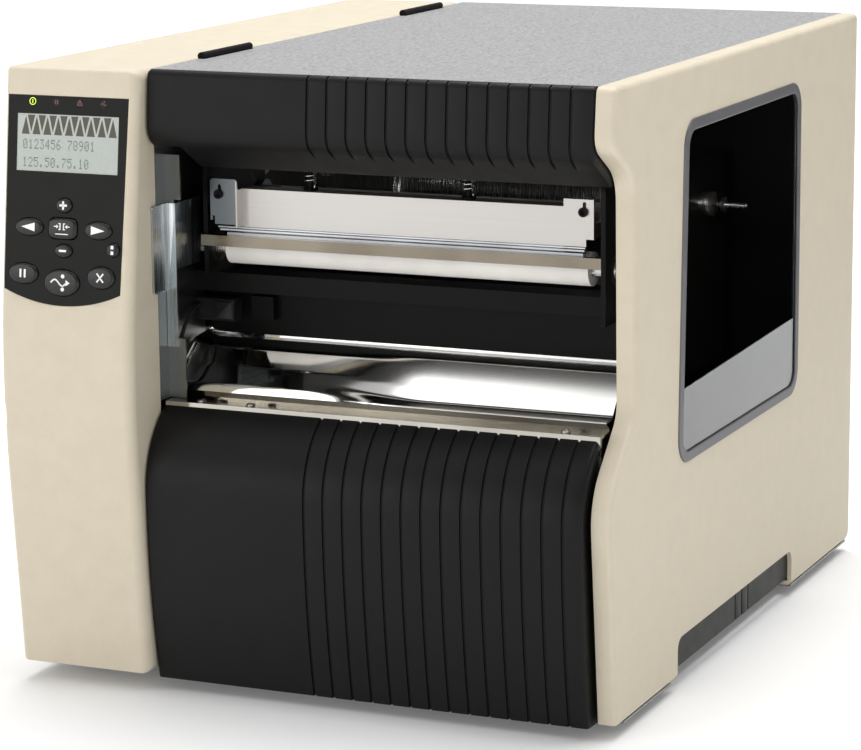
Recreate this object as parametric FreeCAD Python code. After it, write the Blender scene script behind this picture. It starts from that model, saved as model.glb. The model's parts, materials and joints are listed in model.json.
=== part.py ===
import FreeCAD, Part
import math
import os

V = FreeCAD.Vector
os.makedirs("parts", exist_ok=True)

# Frame: X to the right seen from the front, Y to the back, Z up, millimetres.
# The origin is on the table, at the middle of the width and of the depth.

# Overall size
width = 397.0
depth = 518.0
body_height = 390.0
bay_width = 91.5
gasket_proud = 1.0

# Sheet and wall thicknesses, and clearances
moulded_wall = 3.0
sheet = 1.5
plate = 3.0
seat_gap = 0.3
seam = 0.4
running_fit = 0.05

# Outline of the door side, seen from the right
door_rim = 12.3
door_bottom = 8.5
door_brow = 28.0
door_brow_tip = 24.2
door_brow_drop = 35.2
door_throat = 60.0
door_throat_drop = 56.2
door_waist = 62.6
door_waist_drop = 199.0
door_knee = 17.9
door_knee_drop = 241.3
door_toe = 32.1

# Outline of the upper fascia
fascia_front = 27.5
fascia_nose = 24.3
fascia_nose_drop = 42.2
fascia_back = 57.5
fascia_height = 62.0
fascia_strip = 33.0
fascia_notch = 19.5
fascia_notch_drop = 47.0
fascia_groove_drop = 49.8

# Outline of the lower front panel
panel_bulge = 12.0
panel_bulge_drop = 259.0
panel_toe = 23.7
panel_lip_gap = 2.7
panel_edge = 39.7
panel_bottom = 8.0
groove_count = 14
groove_pitch = 12.9
groove_wide = 1.3
groove_deep = 1.2

# Electronics cover
cover_bottom = 12.0
cover_return = 37.0
bow_radius = 600.0
bow_lean_upper = 6.51
bow_lean_lower = 5.38
bow_drop = 191.6
cover_edge_left = 3.5
cover_edge_right = 6.5

# Window in the door side
window_front = 137.0
window_lean = 9.0
window_rear = 135.0
window_low = 144.0
window_drop = 33.0
window_radius = 18.0
gasket_front = 8.0
gasket_side = 7.0
gasket_end = 7.0
pane_thick = 2.0
pane_bite = 4.0

# Grip in the lower edge of the door side
grip_front = 140.0
grip_rear = 141.0
grip_top = 34.0
grip_radius = 8.0
grip_slits = 3
grip_slit_pitch = 13.5
grip_slit_wide = 1.8
grip_slit_offset = 17.5

# Door hinges
hinge_radius = 2.5
hinge_pin_radius = 1.2
hinge_offset = 3.5
hinge_rise = 1.5
hinge_length = 67.0
hinge_front = 95.0
hinge_rear = 47.5

# Print mechanism, heights measured down from the top
print_y = 91.0
platen_radius = 10.4
platen_core = 5.0
platen_clearance = 5.9
platen_left = 9.5
platen_right = 11.5
mech_left = 15.5
mech_right = 13.7
lip_drop = 207.4
beam_height = 12.0
beam_depth = 22.0
side_plate_front = 72.0
side_plate_depth = 85.0
side_plate_drop = 45.0
side_plate_low = 15.0
tear_thick = 4.0
tear_drop = 107.0
tear_height = 6.7
head_front = 81.0
head_left = 3.6
head_right = 7.9
head_top_drop = 78.2
head_height = 23.8
head_edge = 4.0
head_tab_proud = 8.0
head_tab_left = 18.5
head_tab_right = 19.2
head_tab_rise = 6.7
head_tab_cut = 1.4
head_tab_step = 3.0
head_tab_foot = 2.0
head_lip_left = 17.0
head_lip_right = 14.0
head_tab_notch = 4.9
head_screw_left = 6.0
head_screw_right = 6.5
head_screw_drop = 2.9
head_pivot_y = 149.0
head_pivot_drop = 90.0
head_pin_radius = 4.0
toggle_y = 109.0
toggle_drop = 40.0
toggle_radius = 4.0
toggle_spacing = 106.0
toggle_shift = 12.25
plunger_y = 87.0
plunger_radius = 1.6
plunger_foot_radius = 4.5
plunger_foot = 2.0
lever_length = 62.0
lever_wide = 14.0
spring_wire = 0.8
spring_radius = 3.6
spring_turns = 6
brush_y = 120.0
brush_length = 190.0
brush_tip_drop = 81.0
idler_y = 139.0
idler_drop = 128.0
idler_radius = 7.0
idler_pin = 3.0
bearing_outer = 10.0

# Drive in the electronics bay
pulley_radius = 18.0
motor_pulley_radius = 9.0
pulley_wide = 10.0
pulley_stand_off = 7.0
belt_thick = 1.5
motor_y = 109.0
motor_below = 91.0
motor_side = 56.0
motor_length = 54.0
motor_stand_off = 24.0
motor_shaft_radius = 3.2

# Ribbon and media spindles
supply_y = 279.0
supply_drop = 68.0
takeup_y = 174.0
takeup_drop = 55.0
spindle_radius = 5.0
spindle_core = 11.0
spindle_flange = 30.0
spindle_reach = 44.0
hanger_y = 109.0
hanger_drop = 124.0
hanger_radius = 8.0
hanger_reach = 64.0
guide_wide = 110.0
guide_tall = 160.0
dancer_y = 229.0
dancer_z = 92.0
dancer_arm_length = 52.0
dancer_bar_radius = 5.0
dancer_stub = 4.0

# Control panel, measured along the sloped front from the top edge
bezel_left = 2.5
bezel_right = 5.6
bezel_taper = 2.3
bezel_start = 17.2
bezel_corner = 136.6
bezel_end = 145.3
bezel_thick = 2.0
button_proud = 1.9
button_round = 1.2
button_gap = 0.35
button_well = 0.75
ledge = 6.5
buttons = [
    ("button_plus", 43.6, 83.6, 11.0, 9.0),
    ("button_previous", 19.5, 97.8, 19.4, 11.0),
    ("button_setup", 43.0, 97.8, 20.0, 13.2),
    ("button_next", 67.8, 97.8, 18.8, 11.0),
    ("button_minus", 43.9, 111.4, 12.0, 8.5),
    ("button_calibrate", 78.4, 109.1, 8.5, 8.5),
    ("button_pause", 16.2, 126.6, 20.5, 13.0),
    ("button_feed", 43.3, 131.0, 24.5, 16.5),
    ("button_cancel", 70.5, 126.5, 19.0, 13.6),
]
button_travel = 1.2
key_cap_depth = 4.5
board_depth = 12.5
board_thick = 1.6
board_post_left = 29.0
board_post_right = 36.0
board_post_rows = (76.0, 114.0)
lamp_radius = 2.6
lamp_along = 20.8
lamp_places = (19.5, 36.3, 52.5, 69.1)
display_left = 8.9
display_right = 79.7
display_start = 28.4
display_end = 63.5

# Feet and base
foot_radius = 12.0
foot_height = 6.5
foot_inset = 32.0
pan_side = 28.0
pan_ledge = 12.5

# Folded front edge of the centre plate, catch bracket and web sensor
flange_front = 49.5
flange_wide = 10.4
flange_waist = 5.8
flange_foot = 11.5
flange_top_drop = 54.5
flange_waist_drop = 82.3
flange_foot_rise = 38.0
catch_proud = 19.5
catch_wide = 7.5
catch_top_drop = 84.5
catch_bulge = 54.5
catch_face = 90.0
catch_side = 41.0
catch_side_back = 81.0
catch_corner = 1.5
guide_front = 55.8
guide_edge_rise = 4.6
guide_top_gap = 30.4
guide_bulge = 7.6
guide_foot = 5.7
guide_left = 0.4
guide_right = 2.3
beam_right_gap = 1.3
beam_extension_gap = 2.0
sensor_wide = 26.5
sensor_front = 87.0
sensor_deep = 12.0
sensor_gap = 5.0
sensor_tall = 14.5
cable_radius = 1.3
cable_front = 53.0

# Mains inlet, its switch, and the data sockets in the back plate
inlet_side = 24.0
inlet_wide = 47.0
inlet_rise = 17.5
inlet_tall = 28.0
port_sizes = ((60.0, 12.0), (34.0, 12.0), (14.0, 13.0), (15.0, 14.0))
port_side = 20.0
port_pitch = 14.0
rocker_side = 30.0
rocker_wide = 12.0
rocker_tilt = 7.0

# Places worked out from the sizes above
left_x = -width / 2
right_x = width / 2
front_y = -depth / 2
rear_y = depth / 2
top_z = body_height
door_face_x = right_x - gasket_proud
door_inner_x = door_face_x - door_rim
split_x = left_x + bay_width
plate_left_x = split_x - plate
cover_inner_x = left_x + moulded_wall
chassis_right_x = door_inner_x - 1.9
lid_thick = sheet
lid_under_z = top_z - lid_thick
lid_front_y = front_y + fascia_strip + seam
lid_left_x = split_x + 1.5
pan_z = foot_height
floor_z = pan_z + sheet
lip_z = top_z - lip_drop
lip_front_y = front_y + panel_edge + seat_gap
rear_plate_y = rear_y - 4.8
mech_left_x = split_x + mech_left
mech_right_x = door_inner_x - mech_right
mech_mid_x = (mech_left_x + mech_right_x) / 2
print_line_y = front_y + print_y
head_top_z = top_z - head_top_drop
head_low_z = head_top_z - head_height
platen_z = head_low_z - head_edge - seat_gap - platen_radius
beam_top_z = platen_z - platen_radius - platen_clearance
beam_front_y = print_line_y - 4.0
beam_back_y = beam_front_y + beam_depth
side_front_y = front_y + side_plate_front
side_back_y = side_front_y + side_plate_depth
side_top_z = top_z - side_plate_drop
head_y = front_y + head_front
tab_y = head_y - head_tab_proud
pivot_y = front_y + head_pivot_y
pivot_z = top_z - head_pivot_drop
shaft_y = front_y + toggle_y
shaft_z = top_z - toggle_drop
push_y = front_y + plunger_y
toggle_xs = [mech_mid_x - toggle_shift + side * toggle_spacing / 2 for side in (-1, 1)]
idler_axis_y = front_y + idler_y
idler_z = top_z - idler_drop
motor_axis_y = front_y + motor_y
motor_z = platen_z - motor_below
supply_axis_y = front_y + supply_y
supply_z = top_z - supply_drop
takeup_axis_y = front_y + takeup_y
takeup_z = top_z - takeup_drop
hanger_axis_y = rear_y - hanger_y
hanger_z = top_z - hanger_drop
hinge_x = split_x + hinge_offset
hinge_z = top_z + hinge_rise
hinge_spans = [
    (front_y + hinge_front, front_y + hinge_front + hinge_length),
    (rear_y - hinge_rear - hinge_length, rear_y - hinge_rear),
]
panel_right_x = chassis_right_x - 1.0
panel_left_x = split_x + 0.6
fascia_left_x = lid_left_x
fascia_right_x = door_inner_x - 0.9
groove_xs = [panel_right_x - groove_pitch * (i + 1) + 0.6 for i in range(groove_count)]
pulley_right_x = plate_left_x - pulley_stand_off
pulley_left_x = pulley_right_x - pulley_wide
pane_x = door_face_x - moulded_wall + 0.8
flange_y = front_y + flange_front
head_x0 = mech_left_x + head_left
head_x1 = mech_right_x - head_right
head_screw_z = head_top_z - head_screw_drop
head_screws = [(head_x0 + head_screw_left, tab_y), (head_x1 - head_screw_right, head_y)]
arm_low_z = shaft_z - 14.0
arm_high_z = shaft_z - 4.0
foot_z = head_top_z + seat_gap
foot_top_z = foot_z + plunger_foot
guide_x0 = split_x + guide_left
guide_x1 = chassis_right_x - guide_right
inlet_x0 = left_x + inlet_side
inlet_x1 = inlet_x0 + inlet_wide
inlet_z0 = floor_z + inlet_rise
inlet_z1 = inlet_z0 + inlet_tall
rocker_x0 = inlet_x0 + rocker_side
rocker_x1 = rocker_x0 + rocker_wide
rocker_z0 = inlet_z0 + 4.0
rocker_z1 = inlet_z1 - 4.0
rocker_z = (rocker_z0 + rocker_z1) / 2
rocker_y = rear_plate_y + sheet - 3.0
port_places = []
port_z = inlet_z1 + 20.0
for port_long, port_tall in port_sizes:
    port_places.append((left_x + port_side, left_x + port_side + port_long, port_z, port_z + port_tall))
    port_z += port_tall + port_pitch


def block(x0, x1, y0, y1, z0, z1):
    return Part.makeBox(x1 - x0, y1 - y0, z1 - z0, V(x0, y0, z0))


def rod_x(radius, x0, x1, y, z):
    """Round bar along X between two x places."""
    return Part.makeCylinder(radius, x1 - x0, V(x0, y, z), V(1, 0, 0))


def ring_x(outer, inner, x0, x1, y, z):
    return rod_x(outer, x0, x1, y, z).cut(rod_x(inner, x0, x1, y, z))


def fuse(shapes):
    return shapes[0].multiFuse(shapes[1:]).removeSplitter()


def cut_all(shape, tools):
    return shape.cut(Part.Compound(tools))


def corner_arc(before, corner, after, radius):
    """Start, middle and end of the arc that rounds a corner."""
    back = (before - corner).normalize()
    ahead = (after - corner).normalize()
    half = back.getAngle(ahead) / 2
    reach = radius / math.tan(half)
    bisector = (back + ahead).normalize()
    middle = corner + bisector * (radius / math.sin(half) - radius)
    return corner + back * reach, middle, corner + ahead * reach


def rounded_face(points):
    """Closed flat face through (u, v, radius) corners, each rounded by its own radius."""
    corners = [V(u, v, 0) for u, v, radius in points]
    count = len(points)
    stops = []
    for i, (u, v, radius) in enumerate(points):
        if radius > 0:
            stops.append(corner_arc(corners[i - 1], corners[i], corners[(i + 1) % count], radius))
        else:
            stops.append((corners[i], None, corners[i]))
    edges = []
    for i, (start, middle, end) in enumerate(stops):
        if middle is not None:
            edges.append(Part.Arc(start, middle, end).toShape())
        following = stops[(i + 1) % count][0]
        if end.distanceToPoint(following) > 1e-6:
            edges.append(Part.LineSegment(end, following).toShape())
    return Part.Face(Part.Wire(edges))


def side_face(points, x=0.0):
    """Face in the YZ plane from (y, z, radius) corners."""
    face = rounded_face(points)
    turn = FreeCAD.Rotation(V(0, 1, 0), V(0, 0, 1), V(1, 0, 0), "XYZ")
    face.Placement = FreeCAD.Placement(V(x, 0, 0), turn)
    return face


def prism_x(points, x0, x1):
    """Solid that carries a side outline from one x to another."""
    return side_face(points, x0).extrude(V(x1 - x0, 0, 0))


def shrunk_prism(points, amount, x0, x1):
    """The same, with the outline drawn in by an amount."""
    face = rounded_face(points).makeOffset2D(-amount)
    turn = FreeCAD.Rotation(V(0, 1, 0), V(0, 0, 1), V(1, 0, 0), "XYZ")
    face.Placement = FreeCAD.Placement(V(x0, 0, 0), turn)
    return face.extrude(V(x1 - x0, 0, 0))


def save(name, shapes):
    """Writes one sub-part, made of one solid or of several separate ones."""
    if not isinstance(shapes, list):
        shapes = [shapes]
    solids = [solid for shape in shapes for solid in shape.Solids]
    for solid in solids:
        if not solid.isValid():
            print("not valid:", name)
    result = solids[0] if len(solids) == 1 else Part.Compound(solids)
    result.exportStep("parts/" + name + ".step")
    box = result.BoundBox
    print(f"{name:26s} {len(solids)} solid(s)  x {box.XMin:.1f} {box.XMax:.1f}"
          f"  y {box.YMin:.1f} {box.YMax:.1f}  z {box.ZMin:.1f} {box.ZMax:.1f}")


# Base, frame and covers

def base_pan():
    """Folded tray that everything stands in: a tall front wall, and two ledges under the door's lower edge."""
    x0 = cover_inner_x + seat_gap
    x1 = chassis_right_x
    y0 = lip_front_y + sheet
    y1 = rear_plate_y
    side_top = pan_z + pan_side
    floor = block(x0, x1, y0, y1, pan_z, floor_z)
    front_wall = block(split_x + 1, x1, y0, y0 + sheet, pan_z, lip_z - sheet)
    low_front = block(x0, split_x + 1, y0, y0 + sheet, pan_z, side_top)
    right_wall = block(x1 - sheet, x1, y0, y1, pan_z, side_top)
    left_wall = block(x0, x0 + sheet, y0, y1, pan_z, side_top)
    ledge_front = block(x1 - sheet, x1 + pan_ledge, y0 + 6, front_y + grip_front - 8, pan_z, floor_z)
    ledge_rear = block(x1 - sheet, x1 + pan_ledge, rear_y - grip_rear + 4, y1, pan_z, floor_z)
    return fuse([floor, front_wall, low_front, right_wall, left_wall, ledge_front, ledge_rear])


def rubber_feet():
    feet = []
    for x in (left_x + foot_inset, door_inner_x - foot_inset):
        for y in (lip_front_y + foot_inset, rear_plate_y - foot_inset):
            foot = Part.makeCone(foot_radius - 2, foot_radius, foot_height, V(x, y, 0))
            feet.append(foot)
    return feet


def centre_plate():
    """Upright plate between the bays: above the shelf it runs on to the cover, with a fold along its front."""
    front = flange_y
    wall = block(plate_left_x, split_x, front, rear_plate_y, floor_z, top_z - moulded_wall - seat_gap)
    waist_z = top_z - flange_waist_drop
    flange = block(split_x, split_x + flange_waist, front, front + sheet, lip_z, waist_z + 1)
    top_flange = block(split_x, split_x + flange_wide, front, front + sheet, waist_z, top_z - flange_top_drop)
    low_flange = block(split_x, split_x + flange_foot, front, front + sheet, lip_z, lip_z + flange_foot_rise)
    fin = block(plate_left_x, split_x, front_y + cover_return + seat_gap, front + 1, lip_z + seat_gap,
                top_z - moulded_wall - seat_gap)
    body = fuse([wall, fin, flange, top_flange, low_flange])
    holes = [
        rod_x(bearing_outer, plate_left_x - 1, split_x + 1, print_line_y, platen_z),
        rod_x(bearing_outer, plate_left_x - 1, split_x + 1, supply_axis_y, supply_z),
        rod_x(bearing_outer, plate_left_x - 1, split_x + 1, takeup_axis_y, takeup_z),
    ]
    return cut_all(body, holes)


def cover_outline():
    """Side outline of the electronics cover: a shallow bow with its nose at mid height."""
    half_turn = math.radians((bow_lean_upper + bow_lean_lower) / 2)
    tilt = math.radians((bow_lean_upper - bow_lean_lower) / 2)
    nose_y = front_y - bow_radius * (math.cos(tilt) / math.cos(half_turn) - 1)
    nose_z = top_z - bow_drop
    top_y = nose_y + math.tan(math.radians(bow_lean_upper)) * (top_z - nose_z)
    low_y = nose_y + math.tan(math.radians(bow_lean_lower)) * (nose_z - cover_bottom)
    return [
        (top_y, top_z, 3.0),
        (nose_y, nose_z, bow_radius),
        (low_y, cover_bottom, 1.0),
        (rear_y, cover_bottom, 1.0),
        (rear_y, top_z, 1.0),
    ]


def electronics_cover():
    """Beige moulding over the bay: front, top and left side, open to the plate, floor and back."""
    outline = cover_outline()
    outer = prism_x(outline, left_x, split_x)
    for side_x, radius in ((left_x, cover_edge_left), (split_x, cover_edge_right)):
        upright = []
        for edge in outer.Edges:
            box = edge.BoundBox
            on_side = abs(box.XMax - side_x) < 1e-6 and abs(box.XMin - side_x) < 1e-6
            on_front = box.YMax < front_y + cover_return
            if on_side and on_front and box.ZMax - box.ZMin > 40:
                upright.append(edge)
        outer = outer.makeFillet(radius, upright)
    inner = shrunk_prism(outline, moulded_wall, cover_inner_x, split_x - moulded_wall)
    inner_low = block(cover_inner_x, split_x - moulded_wall, front_y + cover_return, rear_y + 1,
                      cover_bottom - 1, top_z - moulded_wall)
    side_open = block(split_x - moulded_wall - 1, split_x + 1, front_y + cover_return, rear_y + 1,
                      cover_bottom - 1, top_z - moulded_wall)
    cover = cut_all(outer, [inner, inner_low, side_open])
    recess = placed_on_slope(bezel_face(seat_gap).extrude(V(0, 0, bezel_thick + 10)), -bezel_thick)
    openings = [Part.makeBox(bay_width - bezel_right - bezel_taper - 2.5 - ledge,
                             bezel_corner - bezel_start - 4, 30, V(ledge, -(bezel_corner - 2.5), -20))]
    for name, cx, along, wide, tall in buttons:
        grow = 2 * button_well
        openings.append(button_post(name, cx, along, wide + grow, tall + grow, -20, 1))
    return cut_all(cover, [recess] + [placed_on_slope(shape, 0) for shape in openings])


def rear_panel():
    """Back plate of both compartments, with cooling slots and cut-outs in the bay."""
    panel = block(cover_inner_x + seat_gap, chassis_right_x, rear_plate_y, rear_plate_y + sheet,
                  floor_z, top_z - moulded_wall - seat_gap)
    cuts = []
    for i in range(9):
        z = top_z - 60 - i * 8
        cuts.append(block(left_x + 18, split_x - 22, rear_plate_y - 1, rear_plate_y + sheet + 1, z, z + 3.5))
    cuts.append(block(inlet_x0, inlet_x1, rear_plate_y - 1, rear_plate_y + sheet + 1, inlet_z0, inlet_z1))
    for x0, x1, z0, z1 in port_places:
        cuts.append(block(x0, x1, rear_plate_y - 1, rear_plate_y + sheet + 1, z0, z1))
    return cut_all(panel, cuts)


def panel_outline():
    """Place of the lower panel's bulge and top edge, and the radii of its front below and above the bulge."""
    bulge_y = front_y + panel_bulge
    bulge_z = top_z - panel_bulge_drop
    edge_y = front_y + panel_edge
    low_rise = bulge_z - panel_bottom
    high_rise = lip_z - panel_lip_gap - bulge_z
    lower_radius = (low_rise ** 2 + (panel_toe - panel_bulge) ** 2) / (2 * (panel_toe - panel_bulge))
    upper_radius = (high_rise ** 2 + (edge_y - bulge_y) ** 2) / (2 * (edge_y - bulge_y))
    return bulge_y, bulge_z, edge_y, lower_radius, upper_radius


def panel_band(inset, x0, x1, back_y):
    """Solid under the panel's curved front, drawn in by an inset."""
    bulge_y, bulge_z, edge_y, lower_radius, upper_radius = panel_outline()
    lower = lower_radius - inset
    upper = upper_radius - inset
    low_centre = bulge_y + lower_radius
    high_centre = bulge_y + upper_radius
    bottom_z = panel_bottom + inset
    start_y = low_centre - math.sqrt(lower ** 2 - (bulge_z - bottom_z) ** 2)
    mid_z = (bulge_z + bottom_z) / 2
    mid_y = low_centre - math.sqrt(lower ** 2 - (bulge_z - mid_z) ** 2)
    end_turn = math.acos((high_centre - edge_y) / upper)
    end = V(0, edge_y, bulge_z + upper * math.sin(end_turn))
    half = V(0, high_centre - upper * math.cos(end_turn / 2), bulge_z + upper * math.sin(end_turn / 2))
    start = V(0, start_y, bottom_z)
    nose = V(0, bulge_y + inset, bulge_z)
    edges = [
        Part.Arc(start, V(0, mid_y, mid_z), nose).toShape(),
        Part.Arc(nose, half, end).toShape(),
        Part.LineSegment(end, V(0, edge_y, lip_z - 12)).toShape(),
        Part.LineSegment(V(0, edge_y, lip_z - 12), V(0, back_y, lip_z - 12)).toShape(),
        Part.LineSegment(V(0, back_y, lip_z - 12), V(0, back_y, bottom_z)).toShape(),
        Part.LineSegment(V(0, back_y, bottom_z), start).toShape(),
    ]
    face = Part.Face(Part.Wire(edges))
    face.translate(V(x0, 0, 0))
    return face.extrude(V(x1 - x0, 0, 0))


def lower_front_panel():
    """Black moulded panel below the label exit, grooved over its right part."""
    back_y = lip_front_y + sheet
    outer = panel_band(0, panel_left_x, panel_right_x, back_y)
    hollow = panel_band(moulded_wall, panel_left_x + moulded_wall, panel_right_x - moulded_wall, back_y + 5)
    under_lip = block(panel_left_x + moulded_wall, panel_right_x - moulded_wall, lip_front_y - 8, back_y + 5,
                      panel_bottom + moulded_wall, lip_z - 13)
    panel = cut_all(outer, [hollow, under_lip])
    grooves = []
    for x in groove_xs:
        slab = panel_band(-2, x - groove_wide / 2, x + groove_wide / 2, back_y + 10)
        core = panel_band(groove_deep, x - groove_wide, x + groove_wide, back_y + 12)
        grooves.append(slab.cut(core))
    return cut_all(panel, grooves)


def front_shelf():
    """Bright folded shelf behind the lower panel, with a lip that shows along its top edge."""
    lip = block(split_x + 2, chassis_right_x, lip_front_y, lip_front_y + sheet, lip_z - 8, lip_z)
    shelf = block(split_x + 2, chassis_right_x, lip_front_y, beam_back_y, lip_z - sheet, lip_z)
    corner = block(split_x + 1, split_x + 18, front_y + 48, front_y + 52.5, lip_z - sheet - 1, lip_z + 1)
    return fuse([lip, shelf]).cut(corner)


def catch_bracket():
    """Zinc-plated catch cover on the plate's folded edge: a nose, a face and a side going back."""
    z1 = top_z - catch_top_drop
    z0 = z1 - catch_bulge
    x0 = split_x + 0.2
    x1 = split_x + catch_wide
    nose = prism_x([
        (flange_y - catch_proud, z0, catch_corner),
        (flange_y - sheet, z0, 0),
        (flange_y - sheet, z1, 0),
        (flange_y - catch_proud, z1, catch_corner),
    ], x0, x0 + sheet)
    face = block(x0, x1, flange_y - sheet, flange_y, z1 - catch_face, z1)
    side = block(x1 - sheet, x1, flange_y - sheet, front_y + catch_side_back, z1 - catch_side, z1)
    return fuse([nose, face, side])


def held_cable(route, radius):
    """Cable along straight runs joined by tangent arcs, each as large as its two runs allow."""
    edges = []
    last = route[0]
    for before, corner, after in zip(route, route[1:], route[2:]):
        run = min((corner - before).Length, (after - corner).Length)
        turn = (corner - before).getAngle(after - corner)
        start, middle, end = corner_arc(before, corner, after, 0.45 * run / math.tan(turn / 2))
        edges.append(Part.LineSegment(last, start).toShape())
        edges.append(Part.Arc(start, middle, end).toShape())
        last = end
    edges.append(Part.LineSegment(last, route[-1]).toShape())
    section = Part.Wire(Part.Circle(route[0], route[1] - route[0], radius).toShape())
    return Part.Wire(edges).makePipeShell([section], True, False)


def web_sensor():
    """Black sensor block on the plate behind the label guide, with its cable down to the shelf."""
    y0 = front_y + sensor_front
    y1 = y0 + sensor_deep
    z1 = beam_top_z - beam_height - sensor_gap
    z0 = z1 - sensor_tall
    points = [(y0, z0, 2.0), (y1, z0, 1.0), (y1, z1, 1.0), (y0, z1, 2.0)]
    body = prism_x(points, split_x, split_x + sensor_wide)
    cap = prism_x([
        (y0 - 2, z0 + 1.5, 1.0), (y0 + 3, z0 + 1.5, 0), (y0 + 3, z1 - 1.5, 0), (y0 - 2, z1 - 1.5, 1.0)],
                  split_x + sensor_wide * 0.55, split_x + sensor_wide - 1.5)
    x = split_x + 4.0
    low_y = front_y + cable_front
    route = [(y0 + 3, z1 - 4), (y0 - 8, z1 - 4.5), (y0 - 21, z1 - 11), (low_y + 5, z1 - 22),
             (low_y, z1 - 37), (low_y, lip_z)]
    cable = held_cable([V(x, y, z) for y, z in route], cable_radius)
    return fuse([body, cap, cable])


# Door

def door_outline():
    """Side outline of the door: brow, recess at the label exit, and a long leaning lower front."""
    return [
        (front_y + door_brow, top_z, 5.0),
        (front_y + door_brow_tip, top_z - door_brow_drop, 14.0),
        (front_y + door_throat, top_z - door_throat_drop, 25.0),
        (front_y + door_waist, top_z - door_waist_drop, 20.0),
        (front_y + door_knee, top_z - door_knee_drop, 41.0),
        (front_y + door_toe, door_bottom, 3.0),
        (rear_y, door_bottom, 8.0),
        (rear_y, top_z, 3.0),
    ]


def window_points(grow_front, grow_side, grow_end, radius):
    """Window corners, its front edge leaning back downwards, grown outwards by three amounts."""
    y0 = front_y + window_front - grow_front
    y1 = rear_y - window_rear + grow_side
    z0 = window_low - grow_end
    z1 = top_z - window_drop + grow_end
    return [(y0, z0, radius), (y1, z0, radius), (y1, z1, radius), (y0 + window_lean, z1, radius)]


def door_side_panel():
    """Beige side of the door, a shallow tray with the window and the grip cut out."""
    outline = door_outline()
    outer = prism_x(outline, door_inner_x, door_face_x)
    face_edges = [edge for edge in outer.Edges if edge.BoundBox.XMin > door_face_x - 1e-3]
    outer = outer.makeFillet(3.5, face_edges)
    hollow = shrunk_prism(outline, moulded_wall, door_inner_x - 1, door_face_x - moulded_wall)
    hole = prism_x(window_points(0, 0, 0, window_radius), door_face_x - 20, door_face_x + 5)
    y0 = front_y + grip_front
    y1 = rear_y - grip_rear
    grip = prism_x([(y0, -20, 0), (y1, -20, 0), (y1, grip_top, grip_radius), (y0, grip_top, grip_radius)],
                   door_inner_x - 5, door_face_x + 5)
    return cut_all(outer, [hollow, hole, grip])


def door_lid():
    """Textured steel top of the door with a folded back edge, notched at the hinges."""
    sheet_top = block(lid_left_x, door_inner_x, lid_front_y, rear_y, lid_under_z, top_z)
    back = block(lid_left_x, door_inner_x, rear_y - sheet, rear_y, top_z - 16, top_z)
    notches = []
    for y0, y1 in hinge_spans:
        notches.append(block(lid_left_x - 1, hinge_x + hinge_radius + 0.5, y0 - 1, y1 + 1,
                             lid_under_z - 1, top_z + 1))
    return cut_all(fuse([sheet_top, back]), notches)


def fascia_points():
    return [
        (front_y + fascia_strip, top_z, 0),
        (front_y + fascia_front, top_z, 4.0),
        (front_y + fascia_nose, top_z - fascia_nose_drop, 14.0),
        (front_y + fascia_back, top_z - fascia_height, 1.0),
        (front_y + fascia_back, lid_under_z, 0),
        (front_y + fascia_strip, lid_under_z, 0),
    ]


def upper_fascia():
    """Black moulded brow of the door, hollow and open at the back, grooved over its right part."""
    points = fascia_points()
    outer = prism_x(points, fascia_left_x, fascia_right_x)
    x0 = fascia_left_x + moulded_wall
    x1 = fascia_right_x - moulded_wall
    hollow = shrunk_prism(points, moulded_wall, x0, x1)
    back = front_y + fascia_back
    opening = block(x0, x1, back - 6, back + 5, top_z - fascia_height + moulded_wall + 3.6,
                    lid_under_z - moulded_wall)
    fascia = cut_all(outer, [hollow, opening])
    grooves = []
    for x in groove_xs:
        slab = block(x - groove_wide / 2, x + groove_wide / 2, front_y, front_y + 40,
                     top_z - fascia_groove_drop, top_z + 1)
        core = shrunk_prism(points, groove_deep, x - groove_wide, x + groove_wide)
        grooves.append(slab.cut(core))
    notch = block(x0 - moulded_wall - 1, x0 - moulded_wall + fascia_notch, front_y + fascia_nose + 8,
                  back + 1, top_z - fascia_height - 1, top_z - fascia_notch_drop)
    return cut_all(fascia, grooves + [notch])


def window_gasket():
    """Flat rubber frame round the pane, with the slot that holds it."""
    bite = window_radius - gasket_end + pane_bite
    outer = prism_x(window_points(-0.1, -0.1, -0.1, window_radius), door_face_x - moulded_wall, right_x)
    inner = prism_x(window_points(-gasket_front, -gasket_side, -gasket_end, window_radius - gasket_end),
                    door_face_x - 20, right_x + 5)
    slot = prism_x(window_points(pane_bite - gasket_front, pane_bite - gasket_side, pane_bite - gasket_end, bite),
                   pane_x, pane_x + pane_thick)
    return cut_all(outer, [inner, slot])


def window_pane():
    bite = window_radius - gasket_end + pane_bite
    return prism_x(window_points(pane_bite - gasket_front, pane_bite - gasket_side, pane_bite - gasket_end, bite),
                   pane_x, pane_x + pane_thick)


def grip_insert():
    """Dark moulded grip behind the cut-out, with upright slits for the fingers."""
    inner_face = door_face_x - moulded_wall
    y0 = front_y + grip_front
    y1 = rear_y - grip_rear
    back = block(inner_face - moulded_wall, inner_face, y0 - 8, y1 + 8, door_bottom + 5, grip_top + 10)
    shelf = block(door_inner_x + 1, inner_face, y0 - 8, y1 + 8, grip_top + 7, grip_top + 10)
    slits = []
    middle = (y0 + y1) / 2 + grip_slit_offset
    for i in range(grip_slits):
        y = middle + (i - (grip_slits - 1) / 2) * grip_slit_pitch
        slits.append(block(inner_face - 1.2, inner_face + 1, y - grip_slit_wide / 2, y + grip_slit_wide / 2,
                           door_bottom + 4, grip_top - 2))
    return cut_all(fuse([back, shelf]), slits)


def knuckle(y0, y1):
    outer = Part.makeCylinder(hinge_radius, y1 - y0, V(hinge_x, y0, hinge_z), V(0, 1, 0))
    return outer


def pin_hole(y0, y1):
    return Part.makeCylinder(hinge_pin_radius + running_fit, y1 - y0, V(hinge_x, y0, hinge_z), V(0, 1, 0))


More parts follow.
